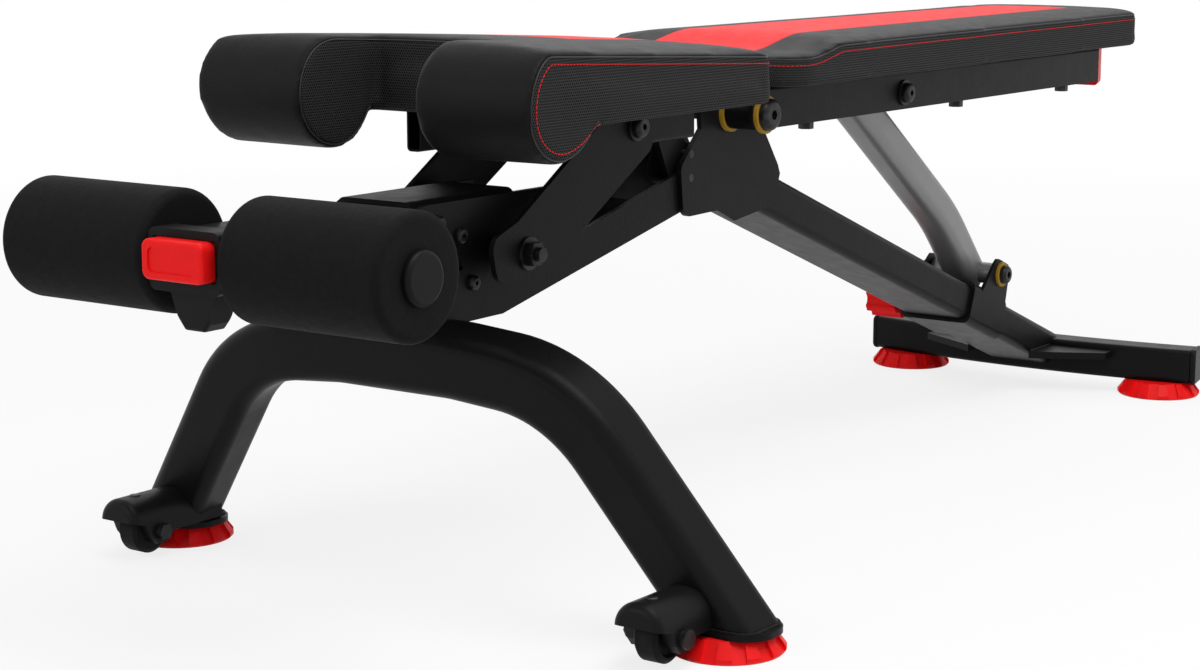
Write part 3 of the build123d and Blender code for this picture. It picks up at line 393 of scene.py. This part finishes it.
# Bolts, screws and axles of steel with a black oxide finish, turned and rolled. They hold the plates, lugs,
# links, boards and wheels, and are worn a little brighter in places.
OXIDE, OXIDE_WORN = (0.014, 0.014, 0.015), (0.045, 0.045, 0.046)
oxide = Finish("black_oxide_steel", Base_Color=(0.02, 0.02, 0.021), Metallic=0.6, Roughness=0.38,
               Specular_IOR_Level=0.3)
rub = oxide.noise(90.0, 3.0)
oxide.put("Base Color", oxide.blend(oxide.between(0.45, 0.75, rub), OXIDE, OXIDE_WORN))
oxide.put("Roughness", 0.30 + rub * 0.22)
oxide.relief(oxide.noise(900.0, 2.0), 0.00006)
paint(oxide, "housing_screws", "wheel_axles", "plate_bolts", "link_bolts_lower", "link_bolts_upper",
      "lug_bolts", "pivot_axle", "rail_bolts", "pad_bolts", "carriage_axle")

# Moulded black plastic with a fine grain: the hoods over the wheels, the crossbar's end caps, the nose of the
# leg brace and the roller caps, each pushed or screwed on to the steel.
MOULDED, MOULDED_PALE = (0.0042, 0.0042, 0.0044), (0.0075, 0.0075, 0.0078)
moulded = Finish("black_moulding", Base_Color=(0.005, 0.005, 0.005), Roughness=0.46, IOR=1.46,
                 Specular_IOR_Level=0.11)
moulded.put("Base Color", moulded.blend(moulded.noise(20.0, 2.0), MOULDED, MOULDED_PALE))
moulded.put("Roughness", 0.33 + moulded.noise(300.0, 2.0) * 0.14)
moulded.relief(moulded.noise(1100.0, 1.0), 0.00012)
paint(moulded, "wheel_housing_left", "wheel_housing_right", "crossbar_caps", "brace_nose", "roller_caps")

# Transport wheels of hard black rubber, moulded in one with the hub. Each turns on an axle bolt in its
# housing beside a front foot.
RUBBER, RUBBER_SCUFFED = (0.005, 0.005, 0.005), (0.013, 0.0125, 0.012)
rubber = Finish("wheel_rubber", Base_Color=(0.006, 0.006, 0.006), Roughness=0.62, Specular_IOR_Level=0.1)
scuff = rubber.noise(70.0, 4.0)
rubber.put("Base Color", rubber.blend(rubber.between(0.5, 0.8, scuff), RUBBER, RUBBER_SCUFFED))
rubber.put("Roughness", 0.52 + scuff * 0.22)
rubber.relief(rubber.noise(800.0, 2.0), 0.00012)
paint(rubber, "wheel_left", "wheel_right")

# Flanged bearing bushes of mustard yellow polymer, pressed into the pivot sleeves and the carriage ears, so
# that steel doesn't turn on steel.
MUSTARD, MUSTARD_DEEP = (0.40, 0.235, 0.022), (0.30, 0.17, 0.015)
bush = Finish("bush_polymer", Base_Color=(0.36, 0.21, 0.02), Roughness=0.5, Specular_IOR_Level=0.2)
bush.put("Base Color", bush.blend(bush.noise(80.0, 3.0), MUSTARD, MUSTARD_DEEP))
bush.put("Roughness", 0.42 + bush.noise(400.0, 2.0) * 0.2)
bush.relief(bush.noise(1200.0, 1.0), 0.00005)
paint(bush, "pivot_bushes", "carriage_bushes")

# The bent strut of box tube with its head and foot, sprayed with a satin silver-grey paint, and the bright
# turned lock pin that holds the carriage on the rear tube.
SILVER_DEEP, SILVER = (0.20, 0.20, 0.202), (0.28, 0.28, 0.283)
TURNED = (0.55, 0.55, 0.56)
silver = Finish("silver_paint", Base_Color=(0.24, 0.24, 0.242), Metallic=0.35, Roughness=0.40)
flake = silver.noise(2600.0, 2.0)
silver.put("Base Color", silver.blend(silver.between(0.35, 0.75, flake), SILVER_DEEP, SILVER))
silver.put("Roughness", 0.33 + silver.noise(40.0, 3.0) * 0.14)
silver.relief(silver.noise(500.0, 2.0), 0.00005)
paint(silver, "strut_tube", "strut_head", "strut_foot")
turned = Finish("turned_steel", Base_Color=TURNED, Metallic=1.0, Roughness=0.28)
rings = turned.node("ShaderNodeTexWave", {"bands_direction": "Y"},
                    {"Vector": turned.place(), "Scale": 900.0, "Distortion": 0.4}, "Fac")
turned.put("Roughness", 0.22 + rings * 0.14)
turned.relief(rings, 0.00003)
paint(turned, "lock_pin")

# Plywood boards that carry the pads, cut square and coloured near black all over, with faint darker layers.
# The seat's lies on the seat rails and the backrest's on the channel.
PLY, PLY_DEEP = (0.020, 0.016, 0.012), (0.009, 0.008, 0.007)
ply = Finish("near_black_ply", Base_Color=(0.016, 0.014, 0.012), Roughness=0.6, Specular_IOR_Level=0.3)
layers = ply.node("ShaderNodeTexWave", {"bands_direction": "Z"},
                  {"Vector": ply.place(), "Scale": 140.0, "Distortion": 1.5, "Detail": 3.0}, "Fac")
ply.put("Base Color", ply.blend(layers, PLY, PLY_DEEP))
ply.put("Roughness", 0.5 + layers * 0.2)
ply.relief(layers, 0.0002)
paint(ply, "seat_board", "backrest_board")

# Leg rollers: thick closed-cell foam sleeves with a fine matt skin, slid over the steel cross tube. Their
# ends are cut square and the rims pressed round.
ROLLER_RIM, ROLLER_BORE = 0.007, 0.01255
ROUND_STEPS, RIM_STEPS, FACE_STEPS, LENGTH_STEPS = 96, 8, 4, 16
FOAM, FOAM_PALE = (0.0028, 0.0028, 0.0029), (0.0048, 0.0048, 0.0050)
foam = Finish("roller_foam", Base_Color=(0.003, 0.003, 0.003), Roughness=0.75, Specular_IOR_Level=0.10)
cells = foam.node("ShaderNodeTexVoronoi", {"feature": "F1"},
                  {"Vector": foam.place(), "Scale": 620.0}, "Distance")
foam.put("Base Color", foam.blend(foam.noise(25.0, 3.0), FOAM, FOAM_PALE))
foam.put("Roughness", 0.66 + foam.noise(160.0, 2.0) * 0.16)
foam.relief(cells + foam.noise(90.0, 3.0) * 0.8, 0.0002)


def turned_on_y(name, profile, x, z, finish):
    """A body of revolution about a line along Y, from (y, radius) points."""
    bm = bmesh.new()
    turns = [2 * math.pi * i / ROUND_STEPS for i in range(ROUND_STEPS)]
    loops = []
    for y, r in profile:
        loops.append([bm.verts.new((x + r * math.cos(a), y, z + r * math.sin(a))) for a in turns])
    loops.append(loops[0])
    for a, b in zip(loops, loops[1:]):
        for i in range(ROUND_STEPS):
            bm.faces.new((a[i], a[i - 1], b[i - 1], b[i]))
    bmesh.ops.recalc_face_normals(bm, faces=bm.faces)
    mesh = bpy.data.meshes.new(name)
    bm.to_mesh(mesh)
    bm.free()
    mesh.shade_smooth()
    mesh.materials.append(finish.material)
    return set_up(name, mesh)


for side in ("left", "right"):
    low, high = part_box("foam_roller_" + side)
    x, z = (low.x + high.x) / 2, (low.z + high.z) / 2
    radius = (high.z - low.z) / 2
    face = radius - ROLLER_RIM - ROLLER_BORE
    end = [(low.y, ROLLER_BORE + face * k / FACE_STEPS) for k in range(FACE_STEPS)]
    end += [(low.y + ROLLER_RIM * (1 - math.cos(math.pi / 2 * k / RIM_STEPS)),
             radius - ROLLER_RIM * (1 - math.sin(math.pi / 2 * k / RIM_STEPS))) for k in range(RIM_STEPS + 1)]
    middle = [(low.y + (high.y - low.y) * k / LENGTH_STEPS, radius) for k in range(2, LENGTH_STEPS - 1)]
    outline = end + middle + [(low.y + high.y - y, r) for y, r in reversed(end)]
    roller = turned_on_y("leg_roller_" + side, outline, x, z, foam)
    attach(roller, "roller_" + side)
    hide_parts("foam_roller_" + side)

# Pads: a block of firm foam on each board, under a sewn cover. The top is smooth vinyl with a red stripe, the
# sides are a fine mesh cloth. The cover is drawn in at its seams and swells a little between them.
SEAT_GRAIN, BACK_GRAIN = 0.0045, 0.0052
EDGE_ROUNDS, EASE_ROUNDS, SMOOTHING = 4, 2, 0.5
SWELL, COVER_STEPS, COVER_QUALITY, COVER_PRESSURE, COVER_STIFFNESS = 0.0016, 20, 4, 4.0, 30.0
SEAM_INSET, STITCH_INSET, GAP_HALF = 0.004, 0.0095, 0.1
SAME_POINT, SAME_GAP = 1e-5, 1e-9


def points_of(piece):
    """The places of a piece's points, one row for each."""
    co = np.zeros(len(piece.data.vertices) * 3, np.float32)
    piece.data.vertices.foreach_get("co", co)
    return co.reshape(-1, 3).astype(float)


def move_points(piece, points):
    piece.data.vertices.foreach_set("co", points.astype(np.float32).ravel())


def stuffed(name, node, tuck, grain):
    """The cover over the foam of one pad, drawn round at the edges, then blown up a little by a cloth run."""
    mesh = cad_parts[node].data.copy()
    bm = bmesh.new()
    bm.from_mesh(mesh)
    bmesh.ops.remove_doubles(bm, verts=bm.verts, dist=SAME_POINT)
    bm.to_mesh(mesh)
    bm.free()
    pad = set_up(name, mesh)
    skin = pad.modifiers.new("cut", "REMESH")
    skin.mode, skin.voxel_size = "VOXEL", grain
    draw = pad.modifiers.new("draw", "SMOOTH")
    draw.factor, draw.iterations = SMOOTHING, EDGE_ROUNDS
    settle(pad)
    start = points_of(pad)
    held = pad.vertex_groups.new(name="held")
    for i, p in enumerate(start):
        held.add([i], tuck(p), "REPLACE")
    cover = pad.modifiers.new("cover", "CLOTH")
    cover.settings.quality = COVER_QUALITY
    cover.settings.use_pressure = True
    cover.settings.uniform_pressure_force = COVER_PRESSURE
    cover.settings.effector_weights.gravity = 0.0
    cover.settings.vertex_group_mass = "held"
    cover.settings.tension_stiffness = COVER_STIFFNESS
    cover.settings.compression_stiffness = COVER_STIFFNESS
    cover.point_cache.frame_start, cover.point_cache.frame_end = 1, COVER_STEPS
    for step in range(1, COVER_STEPS + 1):
        scene.frame_set(step)
    settle(pad)
    scene.frame_set(1)
    moved = points_of(pad) - start
    far = np.maximum(np.linalg.norm(moved, axis=1, keepdims=True), SAME_GAP)
    moved *= np.minimum(1.0, SWELL / far)
    move_points(pad, start + moved)
    pad.vertex_groups.clear()
    ease = pad.modifiers.new("ease", "SMOOTH")
    ease.factor, ease.iterations = SMOOTHING, EASE_ROUNDS
    fine = pad.modifiers.new("fine", "SUBSURF")
    fine.levels = fine.render_levels = 1
    settle(pad)
    pad.data.shade_smooth()
    return pad


def inset_from(points, outline):
    """How far each point lies inside a pad's outline in side view, which runs with the pad on its left."""
    best, signed, before = np.full(len(points), np.inf), np.zeros(len(points)), None
    xz = points[:, [0, 2]]
    for a, b in zip(outline, outline[1:]):
        a, d = np.array(a), np.array(b) - np.array(a)
        t = np.clip(((xz - a) @ d) / (d @ d), 0, 1)
        gap = np.linalg.norm(xz - a - t[:, None] * d, axis=1)
        inside = d[0] * (xz[:, 1] - a[1]) - d[1] * (xz[:, 0] - a[0]) >= 0
        if before is not None:
            at_corner = (t == 0) & (np.abs(gap - best) <= SAME_GAP)
            hollow = before[0] * d[1] - before[1] * d[0] < 0
            both = (signed > 0) | inside if hollow else (signed > 0) & inside
            signed[at_corner] = np.where(both, gap, -gap)[at_corner]
        nearer = gap < best - SAME_GAP
        best[nearer] = gap[nearer]
        signed[nearer] = np.where(inside, gap, -gap)[nearer]
        before = d
    return signed


def crowned_inset(piece, middle, side, half):
    """The same on a crowned pad, whose outline changes from its middle line to its sides."""
    points = points_of(piece)
    share = (points[:, 1] / half) ** 2
    return inset_from(points, middle) * (1 - share) + inset_from(points, side) * share


def mark(piece, name, values):
    """A value at every point of a piece, for its finish to read."""
    layer = piece.data.attributes.new(name, "FLOAT", "POINT")
    layer.data.foreach_set("value", values.astype(np.float32))


SHARP, SEAM_WIDE, STRIPE_SEAM_WIDE = 0.0004, 0.0016, 0.0014
VINYL, VINYL_PALE = (0.0048, 0.0048, 0.0050), (0.0080, 0.0080, 0.0084)
SCARLET, SCARLET_DEEP = (0.88, 0.011, 0.012), (0.80, 0.008, 0.009)
CLOTH_HOLE, CLOTH_YARN = (0.0020, 0.0020, 0.0020), (0.030, 0.030, 0.0305)
CLOTH_PITCH, ROW_SHARE, HOLE_FROM, HOLE_TO, FAR_START = 0.0026, 0.866, 0.055, 0.13, 1000.0


def cover_finish(name, stripe_start, stripe_end, half_start, half_end, gap_end):
    """Smooth vinyl above the seam with the red stripe let in, mesh cloth below it."""
    cover = Finish(name, Roughness=0.45, IOR=1.47, Specular_IOR_Level=0.10)

    def past(value):
        """From 0 to 1 where a value turns positive, over a short way."""
        return cover.between(-SHARP, SHARP, value)

    inset = cover.node("ShaderNodeAttribute", {"attribute_name": "inset"}, out="Fac")
    x = cover.node("ShaderNodeSeparateXYZ", {}, {0: cover.place()}, "X")
    across, z = abs(x.other("Y")), x.other("Z")
    side = cover.between(SEAM_INSET - SHARP, SEAM_INSET + SHARP, inset)
    half = half_start + cover.between(stripe_start, stripe_end, x) * (half_end - half_start)
    before_end, after_start = past(stripe_end - x), past(x - stripe_start)
    stripe = past(half - across) * before_end * after_start * (1 - side)
    grain = cover.node("ShaderNodeTexVoronoi", {"feature": "DISTANCE_TO_EDGE"},
                       {"Vector": cover.place(), "Scale": 520.0, "Randomness": 1.0}, "Distance")
    vinyl = cover.blend(cover.noise(18.0, 3.0), VINYL, VINYL_PALE)
    scarlet = cover.blend(cover.noise(22.0, 3.0), SCARLET, SCARLET_DEEP)
    lengthwise = abs(x - (stripe_start + stripe_end) / 2)
    in_gap = past(gap_end - x) * past(GAP_HALF - across)
    along = lengthwise + across * (2 * in_gap - 1)
    row = z / (CLOTH_PITCH * ROW_SHARE)
    odd = (math.floor(row) + FAR_START) % 2.0 * 0.5
    column = (along / CLOTH_PITCH + odd + FAR_START).fraction() - 0.5
    height = (row + FAR_START).fraction() - 0.5
    hole = cover.between(HOLE_FROM, HOLE_TO, column * column + height * height * 0.75)
    cloth = cover.blend(hole, CLOTH_HOLE, CLOTH_YARN)
    cover.put("Base Color", cover.blend(side, cover.blend(stripe, vinyl, scarlet), cloth))
    cover.put("Roughness", (0.42 + cover.noise(60.0, 2.0) * 0.14) * (1 - side) + side * (0.85 - hole * 0.25))
    seam = cover.between(0.0, SEAM_WIDE, abs(inset - SEAM_INSET))
    edge = cover.between(0.0, STRIPE_SEAM_WIDE, abs(half - across))
    sewn = 1 - (1 - edge) * before_end * after_start * (1 - side)
    fine = cover.between(0.0, 0.25, grain) * 0.10 * (1 - side) + hole * side * 0.5
    cover.relief(fine + seam * 1.2 + sewn * 0.9, 0.0009)
    return cover


SHORTEST_LINE, EVEN_ROUNDS, STITCH_LIFT, WELT_LIFT = 12, 6, 0.0002, -0.0001


def level_lines(piece, values, level, keep):
    """Lines on a piece's skin where a value passes a level, on the parts of the skin that keep accepts."""
    mesh = piece.data
    mesh.calc_loop_triangles()
    corners = np.zeros(len(mesh.loop_triangles) * 3, np.int32)
    mesh.loop_triangles.foreach_get("vertices", corners)
    corners = corners.reshape(-1, 3)
    above = values[corners] > level
    crossed = above.any(1) & ~above.all(1)
    spots, near = {}, {}
    for corner, up in zip(corners[crossed], above[crossed]):
        cut = []
        for i, j in ((0, 1), (1, 2), (2, 0)):
            if up[i] != up[j]:
                p, q = sorted((int(corner[i]), int(corner[j])))
                share = (level - values[p]) / (values[q] - values[p])
                point = mesh.vertices[p].co.lerp(mesh.vertices[q].co, share)
                normal = mesh.vertices[p].normal.lerp(mesh.vertices[q].normal, share).normalized()
                spots[p, q] = (point, normal)
                cut.append((p, q))
        if all(keep(*spots[k]) for k in cut):
            near.setdefault(cut[0], []).append(cut[1])
            near.setdefault(cut[1], []).append(cut[0])
    lines = []
    for first in sorted(near, key=lambda k: (len(near[k]), k)):
        if first not in near:
            continue
        chain, here = [first], first
        while True:
            onward = [k for k in near.pop(here) if k in near]
            if not onward:
                break
            here = onward[0]
            chain.append(here)
        if len(chain) > SHORTEST_LINE:
            lines.append([spots[k] for k in chain])
    return lines


def laid(line, lift):
    """One such line, evened out and lifted a little off the skin."""
    points = np.array([p + n * lift for p, n in line])
    for _ in range(EVEN_ROUNDS):
        points[1:-1] = (points[:-2] + 2 * points[1:-1] + points[2:]) / 4
    return points


THREAD_RED, THREAD_DEEP = (0.90, 0.011, 0.012), (0.66, 0.007, 0.009)
thread = Finish("red_thread", Base_Color=(0.85, 0.010, 0.011), Roughness=0.55, Specular_IOR_Level=0.2)
twist = thread.node("ShaderNodeTexWave", {"bands_direction": "DIAGONAL"},
                    {"Vector": thread.place(), "Scale": 900.0}, "Fac")
thread.put("Base Color", thread.blend(twist, THREAD_RED, THREAD_DEEP))
thread.relief(twist, 0.0001)
STITCHES = {"Pitch": 0.0042, "Length": 0.0040, "Thick": 0.0009, "Finish": thread.material}

WELT_SIDES = 8


def bead_tree():
    """A round cord laid along a line, as the welt that closes a seam."""
    tree, given = line_tree("welt", ("Thread", "Step"))
    add, link = tree.nodes.new, tree.links.new
    cord, ring = add("GeometryNodeCurveToMesh"), add("GeometryNodeCurvePrimitiveCircle")
    ring.inputs["Resolution"].default_value = WELT_SIDES
    cord.inputs["Fill Caps"].default_value = True
    link(spaced_line(tree, given, "Step"), cord.inputs["Curve"])
    link(given.outputs["Thread"], ring.inputs["Radius"])
    link(ring.outputs["Curve"], cord.inputs["Profile Curve"])
    return finished(tree, given, cord.outputs["Mesh"])


welt = bead_tree()
WELT_BLACK, WELT_PALE = (0.006, 0.006, 0.0065), (0.011, 0.011, 0.0115)
welt_vinyl = Finish("welt_vinyl", Base_Color=(0.008, 0.008, 0.0085), Roughness=0.45,
                    Specular_IOR_Level=0.35)
welt_vinyl.put("Base Color", welt_vinyl.blend(welt_vinyl.noise(40.0, 2.0), WELT_BLACK, WELT_PALE))
welt_vinyl.put("Roughness", 0.40 + welt_vinyl.noise(200.0, 2.0) * 0.15)
WELT = {"Thread": 0.0008, "Step": 0.004, "Finish": welt_vinyl.material}

# The seat: two round rolls at the front with a gap for the knees, running back into a wedge that falls
# towards the backrest. Its seam follows the rolls and the top edge.
seat_low, seat_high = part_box("seat_pad")
ROLL_R, ROLL_IN, SEAT_CROWN, SEAT_FALL, SEAT_BASE = 0.0475, 0.061, 0.006, 0.0541, 0.405
FLARE_TURN, ROLL_STEPS, SEAT_TUCK = 285.0, 80, 0.004
BEYOND, UNDER_BASE, UNDER_ROLL = 0.05, 0.03, 0.02
SEAT_STRIPE_AFTER, SEAT_STRIPE_HALF, SEAT_STRIPE_PAST = 0.160, 0.062, 0.01
FACES, LEANS = 0.5, 0.3
roll_x, roll_z = seat_low.x + ROLL_R, seat_low.z + ROLL_R
base_turn = 360 - math.degrees(math.asin((roll_z - SEAT_BASE) / ROLL_R))
base_corner = roll_x + ROLL_R * math.cos(math.radians(base_turn))


def seat_edge(x, crown):
    """The height of the seat's top edge."""
    return roll_z + ROLL_R - crown - SEAT_FALL * (x - roll_x)


def seat_outline(flare, crown):
    """The seat in side view, from its rear over the top and round the roll; flare opens the roll's end."""
    rear = seat_high.x + BEYOND
    line = [(rear, seat_edge(rear, crown))]
    for k in range(ROLL_STEPS + 1):
        turn = 90 + (base_turn - 90) * k / ROLL_STEPS
        r = ROLL_R + flare * max(0.0, (turn - FLARE_TURN) / (base_turn - FLARE_TURN)) ** 2
        x = roll_x + r * math.cos(math.radians(turn))
        z = roll_z + r * math.sin(math.radians(turn))
        if z <= seat_edge(x, crown):
            line.append((x, z))
    return line + [(line[-1][0] + UNDER_ROLL, SEAT_BASE - UNDER_BASE), (rear, SEAT_BASE - UNDER_BASE)]


def seat_tuck(p):
    """The cover is held where it is pulled under the wedge."""
    return 1.0 if p[2] < SEAT_BASE + SEAT_TUCK and p[0] > roll_x + ROLL_R else 0.0


def seat_above(p):
    return p.z > roll_z or p.x < base_corner


def seat_stitched(p, n):
    """Stitches run on the outer sides and on the faces that look to the rear."""
    return seat_above(p) and (n.x > FACES or abs(n.y) > FACES and abs(p.y) > 2 * ROLL_IN)


def seat_seamed(p, n):
    """The seam runs on every side, in the gap between the rolls too."""
    return seat_above(p) and (n.x > LEANS or abs(n.y) > LEANS or n.x < -FACES)


seat = stuffed("seat_cushion", "seat_pad", seat_tuck, SEAT_GRAIN)
seat_inset = crowned_inset(seat, seat_outline(0.0, 0.0), seat_outline(0.0, SEAT_CROWN), seat_high.y)
stitch_inset = crowned_inset(seat, seat_outline(STITCH_INSET, 0.0), seat_outline(STITCH_INSET, SEAT_CROWN),
                             seat_high.y)
mark(seat, "inset", seat_inset)
seat_cover = cover_finish("seat_cover", roll_x + SEAT_STRIPE_AFTER, seat_high.x + SEAT_STRIPE_PAST,
                          SEAT_STRIPE_HALF, SEAT_STRIPE_HALF, roll_x + 2 * ROLL_R)
seat.data.materials.clear()
seat.data.materials.append(seat_cover.material)
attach(seat, "frame")
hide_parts("seat_pad")
stitch_lines = level_lines(seat, stitch_inset, STITCH_INSET, seat_stitched)
laid_along("seat_stitches", [laid(line, STITCH_LIFT) for line in stitch_lines], laid_row, STITCHES,
           "frame")
welt_lines = level_lines(seat, seat_inset, SEAM_INSET, seat_seamed)
laid_along("seat_welt", [laid(line, WELT_LIFT) for line in welt_lines], welt, WELT, "frame")

# The backrest pad: long, tapered to the head, its seat end thinned to a lip by an ogee. The seam runs round
# the top edge and the stitches a little below it. The foam is cut away under the lip, about the pivot.
back_low, back_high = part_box("backrest_pad")
LIP_DROP, LIP_RUN, OGEE_RUN, BACK_CROWN = 0.014, 0.025, 0.110, 0.0046
OGEE_FIRST, OGEE_SECOND, OGEE_STEPS = 0.382, 0.564, 24
BACK_TUCK, DOWNWARD, UPWARD = 0.006, -0.5, 0.9
RELIEF_R, RELIEF_HALF, RELIEF_MARGIN = 0.0504, 0.0515, 0.005
BACK_STRIPE_HALF_SEAT, BACK_STRIPE_HALF_HEAD = 0.068, 0.052
BACK_STRIPE_PAST, BACK_STRIPE_BEFORE, NO_GAP = 0.02, 0.075, 0.1
axle_low, axle_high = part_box("pivot_axle")
pivot = np.array([(axle_low.x + axle_high.x) / 2, (axle_low.z + axle_high.z) / 2])


def back_outline(crown):
    """The backrest pad in side view, from the head over the top and down the ogee to the lip."""
    top = back_high.z - crown
    line = [(back_high.x + BEYOND, top), (back_low.x + LIP_RUN + OGEE_RUN, top)]
    for k in range(OGEE_STEPS, -1, -1):
        t = k / OGEE_STEPS
        run = 3 * t * (1 - t) ** 2 * OGEE_FIRST + 3 * t * t * (1 - t) * OGEE_SECOND + t ** 3
        drop = max(crown, LIP_DROP * (1 - t * t * (3 - 2 * t)))
        line.append((back_low.x + LIP_RUN + OGEE_RUN * run, back_high.z - drop))
    return line + [(back_low.x - BEYOND, back_high.z - LIP_DROP)]


def back_tuck(p):
    """The cover is held where it is pulled under the board."""
    return 1.0 if p[2] < back_low.z + BACK_TUCK else 0.0


def back_sided(p, n):
    """Seam and stitches run on the sides, and stop short of the cut about the pivot."""
    over_plates = abs(p.y) < RELIEF_HALF + RELIEF_MARGIN and p.x < back_low.x + RELIEF_R
    return DOWNWARD < n.z < UPWARD and p.z > back_low.z + BACK_TUCK and not over_plates


def clear_of_pivot(piece):
    """The foam is cut in an arc about the pivot, so that the side plates pass when the pad is raised."""
    points = points_of(piece)
    arm = points[:, [0, 2]] - pivot
    reach = np.linalg.norm(arm, axis=1)
    close = (np.abs(points[:, 1]) < RELIEF_HALF) & (reach < RELIEF_R)
    points[np.ix_(close, [0, 2])] = pivot + arm[close] * (RELIEF_R / reach[close])[:, None]
    move_points(piece, points)


back = stuffed("backrest_cushion", "backrest_pad", back_tuck, BACK_GRAIN)
clear_of_pivot(back)
back_inset = crowned_inset(back, back_outline(0.0), back_outline(BACK_CROWN), back_high.y)
mark(back, "inset", back_inset)
back_cover = cover_finish("backrest_cover", back_low.x - BACK_STRIPE_PAST, back_high.x - BACK_STRIPE_BEFORE,
                          BACK_STRIPE_HALF_SEAT, BACK_STRIPE_HALF_HEAD, back_low.x - NO_GAP)
back.data.materials.clear()
back.data.materials.append(back_cover.material)
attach(back, "backrest")
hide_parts("backrest_pad")
stitch_lines = level_lines(back, back_inset, STITCH_INSET, back_sided)
laid_along("backrest_stitches", [laid(line, STITCH_LIFT) for line in stitch_lines], laid_row, STITCHES,
           "backrest")
welt_lines = level_lines(back, back_inset, SEAM_INSET, back_sided)
laid_along("backrest_welt", [laid(line, WELT_LIFT) for line in welt_lines], welt, WELT,
           "backrest")
